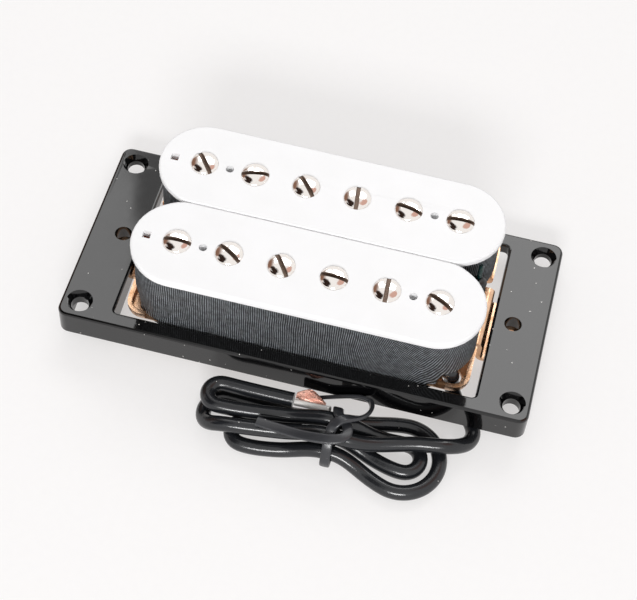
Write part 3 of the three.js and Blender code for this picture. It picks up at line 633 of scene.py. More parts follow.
# painted shade: the gaps between the wires are mixed to nearly black
add(
    tree,
    "ShaderNodeMix",
    {"B": linear("#3A1610")},
    {"Factor": gap_shade.outputs[0], "A": wires.outputs["Result"]},
    shader.inputs["Base Color"],
    data_type="RGBA",
)
grain = add(tree, "ShaderNodeTexNoise", {"Scale": 9.0, "Detail": 2.0}, {"Vector": place})
relief = {"Distance": 0.05 * MM, "Strength": 0.5}
add(tree, "ShaderNodeBump", relief, {"Height": grain.outputs[0]}, shader.inputs["Normal"])

# Extruded polythene: white with soft, wide highlights and waxy tones about 1 mm across.
insulation, tree, shader, place = start_material("polythene_core", "#F3F1ED", Roughness=0.38, IOR=1.51)
wax = add(tree, "ShaderNodeTexNoise", {"Scale": 0.9, "Detail": 3.0}, {"Vector": place})
tones = {"A": linear("#E6E2DB"), "B": linear("#FAF9F7")}
add(tree, "ShaderNodeMix", tones, {"Factor": wax.outputs[0]}, shader.inputs["Base Color"], data_type="RGBA")
relief = {"Distance": 0.04 * MM, "Strength": 0.4}
add(tree, "ShaderNodeBump", relief, {"Height": wax.outputs[0]}, shader.inputs["Normal"])
print("materials", copper.name, "and", insulation.name)

# %% Place of the cut end
for thing, material, node, slot_name in (
    (core, insulation, "core_wire", "insulation"),
    (braid, copper, "shield_braid", "copper"),
    (braid_wires, copper, "shield_braid", "copper"),
):
    thing.data.materials.append(material)
    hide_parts(node)
    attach(thing, "pickup")
print("braid, wires and core are in place")

# %% [markdown]
# ## The tie
#
# A flat black strip about 1.9 mm wide. Its square-cut end lies on the left loops; it passes over
# the waist, hooks back, goes down behind it, under it and up in front, slips under itself and over
# the hook, and its other end curls back along the ring and down behind the left loops.
#
# A curve object with a flat bevel would twist at the bends. Here a rounded flat section is carried
# along the path, and the flat side follows a guide direction at each point, so that the strip lies
# flat on what it touches.

# %% Path of the tie
# x, y, z of the path, then the direction that the flat side faces
tie_table = np.array(
    [
        [-33, -18.7, 7.6, 0, 0, 1],
        [-29.4, -19.1, 7.7, 0, -0.1, 1],
        [-25.5, -19.5, 8, 0, -0.2, 1],
        [-21.8, -19.7, 8.6, 0, -0.3, 1],
        [-18.7, -19.5, 9, 0, -0.3, 1],
        [-16.7, -18.7, 9.1, 0, -0.1, 1],
        [-16.1, -17.4, 9, 0, 0, 1],
        [-16.5, -16, 8.8, 0, 0, 1],
        [-17.4, -14.9, 8.7, 0, 0.2, 1],
        [-18.6, -13.9, 8.7, 0, 0.5, 1],
        [-19, -12.5, 7.9, 0, 1, 0.7],
        [-19.1, -11.6, 6.2, 0, 1, 0.2],
        [-19.1, -10.5, 3.9, 0, 1, 0],
        [-19.1, -10.8, 1.7, 0, 0.8, -0.8],
        [-19.1, -12.5, 0.85, 0, 0, -1],
        [-19.2, -15.9, 0.85, 0, 0, -1],
        [-19.2, -19.2, 0.85, 0, 0, -1],
        [-19.2, -21.1, 1.6, 0, -0.8, -0.8],
        [-19.2, -21.6, 3.4, 0, -1, 0],
        [-19.2, -21.1, 5.2, 0, -1, 0.3],
        [-19.2, -20.3, 6.6, 0, -1, 0.6],
        [-19.3, -19.1, 7.7, 0, -0.6, 1],
        [-19.2, -17.5, 8.8, 0, -0.2, 1],
        [-18.7, -16.6, 9.7, 0, 0, 1],
        [-17.7, -15.6, 10.1, 0, 0, 1],
        [-16.3, -14.8, 9.8, -0.1, 0.4, 0.9],
        [-14.7, -13.8, 9, -0.26, 0.7, 0.47],
        [-13.5, -12.1, 7.9, -0.7, 0.4, 0.3],
        [-13.1, -10, 6.8, -1, 0.06, 0.15],
        [-13.6, -8.5, 6.2, -0.85, -0.25, -0.1],
        [-15.2, -7.8, 6.1, -0.1, -0.84, -0.5],
        [-17.8, -7.8, 5.3, 0, -0.85, -0.53],
        [-21.5, -8, 3.6, 0, -0.85, -0.53],
        [-27, -9, 2.2, 0, -0.85, -0.53],
    ]
)
tie_raw = through(tie_table[:, :3], 0.25)
tie_length = np.concatenate([[0], np.cumsum(np.linalg.norm(np.diff(tie_raw, axis=0), axis=1))])
near = [int(np.argmin(np.linalg.norm(tie_raw - p, axis=1))) for p in tie_table[:, :3]]
guides = np.stack([np.interp(tie_length, tie_length[near], tie_table[:, 3 + k]) for k in range(3)], -1)
tie_line = evenly(tie_raw, 0.25)
steps = np.linspace(0, tie_length[-1], len(tie_line))
guides = np.stack([np.interp(steps, tie_length, guides[:, k]) for k in range(3)], -1)
print("tie", round(float(tie_length[-1]), 1), "mm long")

# %% Tie strip
TIE_THICKNESS = 0.8
TIE_WIDTH = 1.9


def strip_section(thickness, width):
    """A flat section with round edges, as a squared circle: cos and sin keep their signs and the root
    is taken of their sizes, which fills the corners."""
    a = np.linspace(0, 2 * np.pi, 20, endpoint=False)
    x = np.sign(np.cos(a)) * np.abs(np.cos(a)) ** 0.5 * thickness / 2
    y = np.sign(np.sin(a)) * np.abs(np.sin(a)) ** 0.5 * width / 2
    return np.stack([x, y], -1)


flat = strip_section(TIE_THICKNESS * MM, TIE_WIDTH * MM)
tie = tube("tie", (tie_line + HOLE) * MM, flat, guides=guides, angle=50)
tie_vinyl = vinyl("pvc_strip", "#202124", "#3A3B3F", 0.3)
tie.data.materials.append(tie_vinyl)
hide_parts("cable_tie")
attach(tie, "pickup")
print("tie faces", len(tie.data.polygons))

# %% Size of the cable
print("cord of", CABLE, "mm with", len(route), "points")

# %% [markdown]
# ## Moulded black ring
#
# Gloss ABS from a polished mould. Black plastic shows hardly any colour of its own: what the eye
# sees is the pale studio mirrored in it at a few per cent, so the finish is in the reflection, with
# a very slight waviness, faint rub marks and dust.
#
# The ring could be modelled again with a bevel on each edge, but the frame's solid already has its
# shape. So a copy of it is cleaned for shading: points nearer than 0.004 mm are merged, flat
# neighbours become one face, and the normals of large faces count most.

# %% Copy of a frame piece
WELD = 4e-6


def moulded_copy(node, angle=50):
    """A copy of a CAD node with its loose triangles merged and its shading smooth over edges of less
    than the angle."""
    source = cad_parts[node]
    thing = bpy.data.objects.new(node + "_dressed", source.data.copy())
    bpy.context.scene.collection.objects.link(thing)
    thing.data.materials.clear()
    finish_mesh(thing, angle)
    shape = bmesh.new()
    shape.from_mesh(thing.data)
    bmesh.ops.remove_doubles(shape, verts=shape.verts, dist=WELD)
    bmesh.ops.dissolve_degenerate(shape, edges=shape.edges, dist=WELD)
    nearly_flat = math.radians(1.0)
    bmesh.ops.dissolve_limit(shape, angle_limit=nearly_flat, verts=shape.verts, edges=shape.edges)
    shape.to_mesh(thing.data)
    shape.free()
    thing.data.set_sharp_from_angle(angle=math.radians(angle))
    weighted = thing.modifiers.new("even shading", "WEIGHTED_NORMAL")
    weighted.keep_sharp = True
    weighted.weight = 80
    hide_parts(node)
    return thing


print("moulded_copy() is ready")

# %% Black ABS
# Moulded gloss: a deep black under a sharp mirror, dulled in patches of about 3 mm by handling; the
# bump of 8 mm bends long reflections a little, as a real moulding does.
black_abs, tree, shader, place = start_material("abs_black_gloss", "#060607", IOR=1.54, Roughness=0.12)
rub = add(tree, "ShaderNodeTexNoise", {"Scale": 0.35, "Detail": 5.0, "Roughness": 0.6}, {"Vector": place})
span = {"To Min": 0.03, "To Max": 0.11}
add(tree, "ShaderNodeMapRange", span, {"Value": rub.outputs[0]}, shader.inputs["Roughness"])
dust = add_dust(tree, place, shader, share=0.5, grain=0.12)
dust.inputs["A"].default_value = linear("#060607")
wave = add(tree, "ShaderNodeTexNoise", {"Scale": 0.12, "Detail": 1.0}, {"Vector": place})
relief = {"Distance": 0.06 * MM, "Strength": 0.3}
add(tree, "ShaderNodeBump", relief, {"Height": wave.outputs[0]}, shader.inputs["Normal"])
print("material", black_abs.name)

# %% Black ring
ring = moulded_copy("mounting_ring", 30)
ring.data.materials.append(black_abs)
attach(ring, "mounting_ring")
print("ring faces", len(ring.data.polygons))

# %% [markdown]
# ## White bobbins
#
# Injection-moulded white plastic with a soft satin gloss. The bobbins' shape is the frame's, but
# on the real pickup their inner edges all but touch, and the two solids stand half a millimetre
# apart. Moving the whole bobbins would part them from the screws, so only the points near the gap
# are moved, 0.19 mm each.

# %% White ABS
# Satin moulding: nearly white, mottled in patches of about 6 mm that are hardly seen, with a bump of
# 0.2 mm that widens the highlights, so that it doesn't look like paper.
white_abs, tree, shader, place = start_material("abs_white_satin", "#F4F4F5", IOR=1.5, Roughness=0.34)
mottle = add(tree, "ShaderNodeTexNoise", {"Scale": 0.16, "Detail": 4.0}, {"Vector": place})
tones = {"A": linear("#F1F1F1"), "B": linear("#F8F8F9")}
mottled = {"Factor": mottle.outputs[0]}
add(tree, "ShaderNodeMix", tones, mottled, shader.inputs["Base Color"], data_type="RGBA")
satin = add(tree, "ShaderNodeTexNoise", {"Scale": 5.0, "Detail": 2.0}, {"Vector": place})
relief = {"Distance": 0.02 * MM, "Strength": 0.25}
add(tree, "ShaderNodeBump", relief, {"Height": satin.outputs[0]}, shader.inputs["Normal"])
print("material", white_abs.name)

# %% White bobbins
GAP_SHIFT = 0.19


def narrow_gap(bobbin, side):
    """y moves towards the middle by the shift times a smooth step, which is 0 at 1.6 mm from the middle
    and further out, and 1 at 0.6 mm and nearer."""
    points = np.empty(3 * len(bobbin.data.vertices))
    bobbin.data.vertices.foreach_get("co", points)
    points = points.reshape(-1, 3)
    near = smooth_step(1.6 - np.abs(points[:, 1]) / MM)
    points[:, 1] -= side * GAP_SHIFT * near * MM
    bobbin.data.vertices.foreach_set("co", points.ravel())
    bobbin.data.update()


for row in ("front", "rear"):
    bobbin = moulded_copy("bobbin_" + row)
    narrow_gap(bobbin, -1 if row == "front" else 1)
    bobbin.data.materials.append(white_abs)
    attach(bobbin, "pickup")
print("two bobbins dressed")

# %% [markdown]
# ## Coil tape
#
# The black tape wound round each coil has fine ribs across it. Ribs in a bump alone would do on a
# straight band, but here they have to run round half-round ends at one spacing. So the tape is one
# band, a flat section carried round a path, and its UV holds the real length along that path.

# %% Path of the tape


def racetrack(length, width, count):
    """Points an equal distance apart on two straights joined by two half circles, the distance of each
    and the whole length: x or the angle grows with the distance past the stretch's start."""
    radius = width / 2
    straight = length - width
    total = 2 * straight + 2 * np.pi * radius
    s = np.linspace(0, total, count, endpoint=False)
    bounds = np.cumsum([straight, np.pi * radius, straight, np.pi * radius])
    part = np.searchsorted(bounds, s, side="right")
    on = [part == 0, part == 1, part == 2, part == 3]
    right = (s - bounds[0]) / radius - np.pi / 2
    left = (s - bounds[2]) / radius + np.pi / 2
    x = [
        s - straight / 2,
        straight / 2 + radius * np.cos(right),
        straight / 2 - (s - bounds[1]),
        -straight / 2 + radius * np.cos(left),
    ]
    y = [-radius, radius * np.sin(right), radius, radius * np.sin(left)]
    return np.stack([np.select(on, x), np.select(on, y)], -1), s, total


print("a track of 10 by 4 mm is", round(racetrack(10, 4, 8)[2], 1), "mm long")

# %% [markdown]
# In the photograph the ribs are about 0.4 mm apart and show as pale lines on black. They are drawn 0.42 mm
# apart, as a sine of the length, and their crests are painted pale in patches, as a painted highlight.

# %% Ribbed tape
# Ribbed tape with a dull black face: the crests are painted pale grey as a painted highlight, which gives it
# a silky grey sheen from afar, uneven over about 1 mm, and the bump makes the ribs catch the light.
RIB_SPACING = 0.42
tape_black, tree, shader, place = start_material("ribbed_coil_tape", "#141518", Roughness=0.5, IOR=1.5)
uv = add(tree, "ShaderNodeUVMap", uv_map="surface")
parts = add(tree, "ShaderNodeSeparateXYZ", links={0: uv.outputs[0]})
wander = add(tree, "ShaderNodeTexNoise", {"Scale": 0.22, "Detail": 2.0}, {"Vector": place})
both = {0: wander.outputs[0], 2: parts.outputs[0]}
shifted = add(tree, "ShaderNodeMath", {1: 0.5 * MM}, both, operation="MULTIPLY_ADD")
rib_turn = {1: 2 * math.pi / (RIB_SPACING * MM)}
phase = add(tree, "ShaderNodeMath", rib_turn, {0: shifted.outputs[0]}, operation="MULTIPLY")
ribs = add(tree, "ShaderNodeMath", links={0: phase.outputs[0]}, operation="SINE")
shade = add(tree, "ShaderNodeMapRange", {"From Min": -1.0}, {"Value": ribs.outputs[0]})
peaks = add(tree, "ShaderNodeMath", {1: 2.6}, {0: shade.outputs[0]}, operation="POWER")
sheen_noise = add(tree, "ShaderNodeTexNoise", {"Scale": 1.1, "Detail": 3.0}, {"Vector": place})
span = {"From Min": 0.1, "From Max": 0.65}
sheen_patches = add(tree, "ShaderNodeMapRange", span, {"Value": sheen_noise.outputs[0]})
both = {0: peaks.outputs[0], 1: sheen_patches.outputs[0]}
crest_sheen = add(tree, "ShaderNodeMath", links=both, operation="MULTIPLY")
# painted highlight: the rib crests are mixed to pale grey, in patches
tones = {"A": linear("#050707"), "B": linear("#989DA2")}
pale = {"Factor": crest_sheen.outputs[0]}
add(tree, "ShaderNodeMix", tones, pale, shader.inputs["Base Color"], data_type="RGBA")
relief = {"Distance": 0.04 * MM, "Strength": 0.8}
add(tree, "ShaderNodeBump", relief, {"Height": ribs.outputs[0]}, shader.inputs["Normal"])
print("ribs", RIB_SPACING, "mm apart")

# %% [markdown]
# Where a long side looks outwards the tape hangs as a skirt over the tray's edge, 0.9 mm below its
# solid and up to 0.32 mm further out, so that no white line shows at its foot. At the left end of
# the front coil the skirt reaches further than elsewhere. The front tape also has a crease near its
# right end, where the tape's end is stuck down, and its ribs slant there.

# %% Creases of the front tape
CREASE_AT, CREASE_SLOPE = 41.5, 0.7
# depth, place and width of each dent, from the deepest one
DENTS = ((-0.36, 0, 0.6), (0.06, 1.5, 0.8), (-0.1, 4.2, 0.7), (-0.12, -3, 0.6))
SLANT, SLANT_AT, SLANT_WIDTH = 0.5, 47, 7.5


def bell(distance, place, width):
    """exp(-((distance - place) / width)^2), which is 1 at the place."""
    return np.exp(-(((distance - place) / width) ** 2))


def creases(s, below_top):
    """The sum of each dent's depth times its bell, measured along the tape from a slanting line."""
    line = s - CREASE_AT - CREASE_SLOPE * below_top
    return sum(depth * bell(line, place, width) for depth, place, width in DENTS)


print("deepest crease", round(float(creases(CREASE_AT, 0.0)), 2), "mm")

# %% Shape of a tape
BAND_LEVELS = 17
BAND_POINTS = 900
TAPE_WALL = 0.38
EDGE_INSET = 0.02
SIDE_INSET = 0.12
SKIRT_DROP = 0.9
SKIRT_FLARE = 0.32
SKIRT_REACH, SKIRT_REACH_FRONT_LEFT = 28.3, 31.6
band_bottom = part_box("keeper_bar_front")[1].z / MM
# levels go up the outside, and the last two are the inner wall's top and bottom
level_share = np.concatenate([np.linspace(0, 1, BAND_LEVELS), [1, 0]])[None]
outside = np.concatenate([np.ones(BAND_LEVELS), [0, 0]])[None]


def tape_grid(row, outer):
    """Each point is the path's point plus an offset along its outward normal: ripples and creases on
    the outside, the wall's thickness on the inside, and the flare of the skirt. The second grid is
    the length along the path, slanted where the ribs are."""
    low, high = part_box("coil_tape_" + row)
    length, width = (high.x - low.x) / MM, (high.y - low.y) / MM
    skirt_bottom, top = low.z / MM, high.z / MM
    outline, s, total = racetrack(length - SIDE_INSET, width - SIDE_INSET, BAND_POINTS)
    normal = np.stack([np.gradient(outline[:, 1]), -np.gradient(outline[:, 0])], -1)
    normal[0], normal[-1] = normal[1], normal[-2]
    normal /= np.linalg.norm(normal, axis=1, keepdims=True)
    front_left = (outline[:, 0] < 0) & (row == "front")
    reach = np.where(front_left, SKIRT_REACH_FRONT_LEFT, SKIRT_REACH)
    # 1 where the tape hangs as a skirt, 0 where it ends on the keeper bars
    hangs = smooth_step((reach - np.abs(outline[:, 0])) / 1.6) * (outline[:, 1] * outer > 0)
    skirt = skirt_bottom - SKIRT_DROP - band_bottom
    bottom = (band_bottom + EDGE_INSET + skirt * hangs)[:, None]
    levels = bottom + (top - EDGE_INSET - bottom) * level_share
    s = s[:, None]
    # ripples of 0.05 mm, about 7 mm long and 10 mm high
    ripple = 0.05 * np.sin(0.9 * s) * np.sin(0.6 * levels)
    slant = np.zeros_like(ripple)
    if row == "front":
        ripple += creases(s, top - levels)
        slant = SLANT * (top - levels) * bell(s, SLANT_AT, SLANT_WIDTH)
    flare = SKIRT_FLARE * smooth_step((skirt_bottom + 0.8 - levels) / 1.2) * hangs[:, None]
    flare[:, -1] += 0.06 * hangs
    offset = ripple * outside - TAPE_WALL * (1 - outside) - EDGE_INSET + flare
    points = np.concatenate([outline[:, None] + normal[:, None] * offset[..., None], levels[..., None]], -1)
    points[..., 1] += (high.y + low.y) / 2 / MM
    along = s + slant
    along = np.concatenate([along, along[:1] + total])
    along = np.concatenate([along, along[:, :1]], 1)
    return np.concatenate([points, points[:1]]) * MM, along * MM


print("a tape has", BAND_POINTS, "points round and", BAND_LEVELS, "levels up its outside")

# %% Both tapes
for row, outer in (("front", -1), ("rear", 1)):
    grid, along = tape_grid(row, outer)
    tape = surface("coil_tape_%s_dressed" % row, grid, angle=50, along=along)
    tape.data.materials.append(tape_black)
    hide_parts("coil_tape_" + row)
    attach(tape, "pickup")
print("tape round", round(float(along[-1, 0]) / MM, 1), "mm")

# %% [markdown]
# ## Pole screws
#
# Nickel-plated steel with slotted, domed heads. A head could be turned on a lathe of points and its
# slot cut with a boolean, but that leaves long thin faces, which shade badly on a mirror. Here a
# head is a stack of cross-sections from one side to the other: each runs up the rim, over the
# dome, down into the slot and up again, and the whole grid is turned to the angle that the slot
# has in the photograph.

# %% Head of a screw
HEAD_BOTTOM, HEAD_TOP = 22.2, 24.4
HEAD_WIDTH = 5.34
RIM_HEIGHT = 1.3
SLOT_WIDTH, SLOT_DEPTH, SLOT_LIP = 0.8, 1.0, 0.07


def screw_head():
    """For each station x across the head, y goes from one side of the circle to the other. z is the
    rim, then the dome, or the slot's floor. The dome's height is its full height times the root of
    1 - (distance from the axis / radius)^2.3."""
    radius = HEAD_WIDTH / 2
    half = SLOT_WIDTH / 2
    chord = math.sqrt(radius**2 - half**2)
    x = chord * np.sin(np.linspace(-np.pi / 2, np.pi / 2, 41))
    reach = np.sqrt(np.maximum(radius**2 - x**2, 0))
    t = np.sin(np.linspace(0, np.pi / 2, 9))
    y_side = half + SLOT_LIP + (reach[:, None] - half - SLOT_LIP).clip(0) * t[None, ::-1]
    rim = HEAD_BOTTOM + RIM_HEIGHT

    def dome(yy):
        r = np.sqrt(x[:, None] ** 2 + yy**2)
        return rim + (HEAD_TOP - rim) * np.sqrt(np.maximum(1 - (r / radius) ** 2.3, 0))

    z_side = dome(y_side)
    edge_y = np.minimum(half, reach)[:, None]
    floor_z = np.full_like(edge_y, HEAD_TOP - SLOT_DEPTH)
    edge_top = np.maximum(dome(edge_y) - SLOT_LIP, floor_z)
    outer = np.maximum(reach[:, None], edge_y)
    low_z, rim_z = np.full_like(outer, HEAD_BOTTOM), np.full_like(outer, rim)
    right_y = np.concatenate([outer, outer, y_side, edge_y, edge_y], 1)
    right_z = np.concatenate([low_z, rim_z, z_side, edge_top, floor_z], 1)
    y = np.concatenate([right_y, -right_y[:, ::-1]], 1)
    z = np.concatenate([right_z, right_z[:, ::-1]], 1)
    return np.stack([np.broadcast_to(x[:, None], y.shape), y, z], -1)


head = screw_head()
print("a head is a grid of", head.shape[0], "by", head.shape[1], "points")

# %% [markdown]
# The shank carries a fine thread, 40 turns to the inch. Its radius falls by the depth of the
# thread as a triangle wave of height minus turn, so one grid holds all the turns.

# %% Shank of a screw
SHANK_TOP = 22.25
SHANK_WIDTH = 3.175
THREAD_PITCH, THREAD_DEPTH = 0.635, 0.26
CHAMFER = 0.4


def threaded_shank():
    """Radius = half the diameter minus depth times a triangle wave of (z / pitch - angle / one turn)."""
    z = np.linspace(0, SHANK_TOP, int(SHANK_TOP / THREAD_PITCH * 6) + 1)
    a = np.linspace(0, 2 * np.pi, 24, endpoint=False)
    phase = (z[:, None] / THREAD_PITCH - a[None] / (2 * np.pi)) % 1
    r = SHANK_WIDTH / 2 - THREAD_DEPTH * (1 - np.abs(2 * phase - 1))
    up_chamfer = np.clip(z / CHAMFER, 0, 1)[:, None]
    r = np.minimum(r, SHANK_WIDTH / 2 - CHAMFER * (1 - up_chamfer))
    return np.stack([r * np.cos(a), r * np.sin(a), np.broadcast_to(z[:, None], r.shape)], -1)


shank = threaded_shank()
print("a shank has", int(SHANK_TOP / THREAD_PITCH), "turns of thread")

# %% [markdown]
# Bright nickel is a mirror with a trace of warmth. The faces down in the slots get a second material, dull
# and brown: partly dull plating, and partly painted shade of the slot's depth.

# %% Nickel
# Electroplated nickel: a warm mirror, smeared in patches of about 1 mm, with pits of 0.4 mm that
# break up the edges of what it reflects.
nickel, tree, shader, place = start_material("nickel_plate_bright", "#F1ECE7", Metallic=1.0, Roughness=0.08)
smear = add(tree, "ShaderNodeTexNoise", {"Scale": 0.9, "Detail": 4.0}, {"Vector": place})
span = {"To Min": 0.04, "To Max": 0.13}
add(tree, "ShaderNodeMapRange", span, {"Value": smear.outputs[0]}, shader.inputs["Roughness"])
pits = add(tree, "ShaderNodeTexNoise", {"Scale": 2.4, "Detail": 3.0}, {"Vector": place})
relief = {"Distance": 0.03 * MM, "Strength": 0.35}
add(tree, "ShaderNodeBump", relief, {"Height": pits.outputs[0]}, shader.inputs["Normal"])

# The same metal, dull in the slots: half metallic and brownish, mottled over 0.3 mm; its darkness is partly
# dull plating and partly painted shade.
slot_dull_and_shade, tree, shader, place = start_material("nickel_slot_dull_and_shade", "#6A5548", Metallic=0.5, Roughness=0.5)
slot_mottle = add(tree, "ShaderNodeTexNoise", {"Scale": 3.0, "Detail": 3.0}, {"Vector": place})
tones = {"A": linear("#3E2E25"), "B": linear("#9A8474")}
add(tree, "ShaderNodeMix", tones, {"Factor": slot_mottle.outputs[0]}, shader.inputs["Base Color"], data_type="RGBA")
relief = {"Distance": 0.04 * MM, "Strength": 0.5}
add(tree, "ShaderNodeBump", relief, {"Height": slot_mottle.outputs[0]}, shader.inputs["Normal"])
print("materials", nickel.name, "and", slot_dull_and_shade.name)

# %% Twelve screws
# the turn of each slot in the photograph, from left to right
slot_degrees = {"front": [1, -31, -55, -3, -87, -25], "rear": [-52, 12, -49, -84, -10, 2]}
for row, angles in slot_degrees.items():
    for number, degrees in enumerate(angles, 1):
        node = "pole_screw_%s_%d" % (row, number)
        low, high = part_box(node)
        centre = np.array([(low.x + high.x) / 2, (low.y + high.y) / 2, 0]) / MM
        cosine, sine = math.cos(math.radians(degrees)), math.sin(math.radians(degrees))
        spin = np.array([[cosine, -sine, 0], [sine, cosine, 0], [0, 0, 1]])
        head_grid = (head @ spin.T + centre) * MM
        head_piece = surface(node + "_head", head_grid, angle=32, ends=True)
        shank_grid = (shank + centre) * MM
        shank_piece = surface(node + "_shank", shank_grid, angle=70, ends=True)
        head_piece.data.materials.append(nickel)
        # the second material, on the slot faces, is dull plating with painted shade
        head_piece.data.materials.append(slot_dull_and_shade)
        middles = np.empty(3 * len(head_piece.data.polygons))
        head_piece.data.polygons.foreach_get("center", middles)
        local = (middles.reshape(-1, 3) / MM - centre) @ spin
        in_slot = (np.abs(local[:, 1]) < SLOT_WIDTH / 2 + 0.005) & (local[:, 2] < HEAD_TOP - 0.1)
        head_piece.data.polygons.foreach_set("material_index", in_slot.astype(np.int32))
        shank_piece.data.materials.append(nickel)
        for piece in (head_piece, shank_piece):
            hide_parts(node)
            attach(piece, node)
print("twelve screws")

# %% [markdown]
# ## Brass tray
#
# The tray is blanked and folded from half-hard sheet brass. Its folds are in the frame's solid, so
# a cleaned copy is enough, and the work is in the finish.

# %% Brass
# Rolled sheet: a warm, soft mirror with faint lines along the length, 0.17 mm apart, and darker,
# duller patches of about 2 mm where fingers have touched it.
brass, tree, shader, place = start_material("brass_sheet_rolled", "#E6BB95", Metallic=1.0, Roughness=0.26)
lines = add(tree, "ShaderNodeMapping", {"Scale": (0.15, 6.0, 6.0)}, {"Vector": place})
rolling = add(tree, "ShaderNodeTexNoise", {"Scale": 1.0, "Detail": 3.0}, {"Vector": lines.outputs[0]})
stain = add(tree, "ShaderNodeTexNoise", {"Scale": 0.45, "Detail": 5.0}, {"Vector": place})
ramp = add(tree, "ShaderNodeMapRange", {"From Min": 0.35, "From Max": 0.7}, {"Value": stain.outputs[0]})
tones = {"A": linear("#F3CCAC"), "B": linear("#C8986F")}
add(tree, "ShaderNodeMix", tones, {"Factor": ramp.outputs[0]}, shader.inputs["Base Color"], data_type="RGBA")
span = {"To Min": 0.18, "To Max": 0.36}
add(tree, "ShaderNodeMapRange", span, {"Value": stain.outputs[0]}, shader.inputs["Roughness"])
relief = {"Distance": 0.02 * MM, "Strength": 0.5}
add(tree, "ShaderNodeBump", relief, {"Height": rolling.outputs[0]}, shader.inputs["Normal"])
print("material", brass.name)

# %% Tray
tray = moulded_copy("baseplate", 40)
tray.data.materials.append(brass)
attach(tray, "pickup")
print("tray faces", len(tray.data.polygons))

# %% [markdown]
# ## The cable inside the tray, and the taped joint
#
# Inside the tray the jacket ends after 14 mm, the braid is soldered to the floor and the core runs
# on. The jacket turns down into the hole by a quarter circle, and it is the same tube as outside.

# %% Cable inside the tray
ENTRY_START, ENTRY_MIDDLE = 16.0, 22.0
ENTRY_BEND = 1.8
entry_low, entry_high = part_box("cable_entry")
# the solid has twelve sides with a flat on top, half the cable times cos 15 degrees above its middle
entry_z = entry_high.z / MM - CABLE / 2 * math.cos(math.pi / 12)
bend = np.linspace(math.pi / 2, 0, 9)
bend_x = HOLE[0] - ENTRY_BEND + ENTRY_BEND * np.cos(bend)
bend_z = entry_z - ENTRY_BEND + ENTRY_BEND * np.sin(bend)
entry_points = np.vstack(
    [
        [[ENTRY_START, HOLE[1], entry_z], [ENTRY_MIDDLE, HOLE[1], entry_z]],
        np.stack([bend_x, np.full_like(bend, HOLE[1]), bend_z], -1),
        [[HOLE[0], HOLE[1], entry_low.z / MM]],
    ]
)
entry_line = evenly(through(entry_points, 0.2), 0.3) * MM
entry = tube("cable_entry_dressed", entry_line, ring_section(CABLE * MM, 28), side=(0, 1, 0))
entry.data.materials.append(jacket_vinyl)
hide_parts("cable_entry")
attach(entry, "pickup")
print("the cable inside has", len(entry_line), "points")

# %% [markdown]
# The joint of the coil leads is wrapped in black tape and stands between the bobbins' right ends.
# It is a roll whose radius grows by 0.1 mm over each turn and then drops by that step, as the edge
# of a wound tape does, and it is slightly three-sided and rounded at both ends.

# %% Taped joint
TURN_RISE = 2.1
WRAP_RADIUS, TAPE_STEP, WRAP_LUMPS, WRAP_ROUND = 1.58, 0.1, 0.05, 0.5
wrap_low, wrap_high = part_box("splice_wrap")
wrap_middle = np.array([(wrap_low.x + wrap_high.x) / 2, (wrap_low.y + wrap_high.y) / 2, 0]) / MM
z = np.linspace(wrap_low.z / MM, wrap_high.z / MM, 49)
a = np.linspace(0, 2 * np.pi, 36, endpoint=False)
turns = (z[:, None] / TURN_RISE - a[None] / (2 * np.pi)) % 1
r = WRAP_RADIUS + TAPE_STEP * turns + WRAP_LUMPS * np.sin(3 * a[None] + z[:, None])
from_end = np.clip(np.minimum(z - z[0], z[-1] - z) / WRAP_ROUND, 0, 1)[:, None]
r = r - WRAP_ROUND * (1 - from_end)
wrap_grid = np.stack([r * np.cos(a), r * np.sin(a), np.broadcast_to(z[:, None], r.shape)], -1)
joint = surface("taped_joint", (wrap_grid + wrap_middle) * MM, angle=60, ends=True)

# Calendered PVC tape, stretched on by hand: black and glossy, with crinkles 0.6 mm wide.
wrap_black, tree, shader, place = start_material("pvc_tape_wound", "#101114", Roughness=0.3, IOR=1.53)
crinkle = add(tree, "ShaderNodeTexNoise", {"Scale": 1.6, "Detail": 4.0}, {"Vector": place})
tones = {"A": linear("#08090A"), "B": linear("#1C1D20")}
crinkled = {"Factor": crinkle.outputs[0]}
add(tree, "ShaderNodeMix", tones, crinkled, shader.inputs["Base Color"], data_type="RGBA")
relief = {"Distance": 0.12 * MM, "Strength": 0.6}
add(tree, "ShaderNodeBump", relief, {"Height": crinkle.outputs[0]}, shader.inputs["Normal"])
joint.data.materials.append(wrap_black)
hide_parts("splice_wrap")
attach(joint, "pickup")
print("joint", round(float(z[-1] - z[0]), 1), "mm tall")

# %% [markdown]
# Two thin leads come out of the joint and go down to the coils' ends, one to each side. They are
# of dark green vinyl, which shows its colour only in the lights.

# %% Coil leads
LEAD = 0.9
lead_vinyl = vinyl("pvc_lead_green", "#07201F", "#0E3A38", 0.22)
for row in ("front", "rear"):
    low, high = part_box("coil_lead_" + row)
    sign = -1 if row == "front" else 1
    inner_y, outer_y = (high.y, low.y) if sign < 0 else (low.y, high.y)
    inner_y, outer_y = inner_y / MM + sign * LEAD / 2, outer_y / MM - sign * LEAD / 2
    x0, x1 = wrap_middle[0], low.x / MM + LEAD / 2
    top = high.z / MM - LEAD / 2
    base = low.z / MM
    lead_points = np.array(
        [
            [x0, inner_y, wrap_high.z / MM - 0.1],
            [x0, inner_y, top - 0.4],
            [(x0 + x1) / 2, (inner_y + outer_y) / 2, top],
            [x1, outer_y, top - 0.9],
            [x1, outer_y, base],
        ]
    )
    lead_line = evenly(through(lead_points, 0.2), 0.2) * MM
    section = ring_section(LEAD * MM, 14)
    lead = tube("coil_lead_%s_dressed" % row, lead_line, section, side=(1, 0, 0))
    lead.data.materials.append(lead_vinyl)
    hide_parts("coil_lead_" + row)
    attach(lead, "pickup")
print("two leads of", LEAD, "mm")

# %% [markdown]
# ## What lies inside
#
# The steel bars, the magnet, the windings, the small screws underneath, the core and the solder
# are the frame's own solids. Little of them is ever seen, so new meshes would be wasted; each gets
# the finish of the real material.

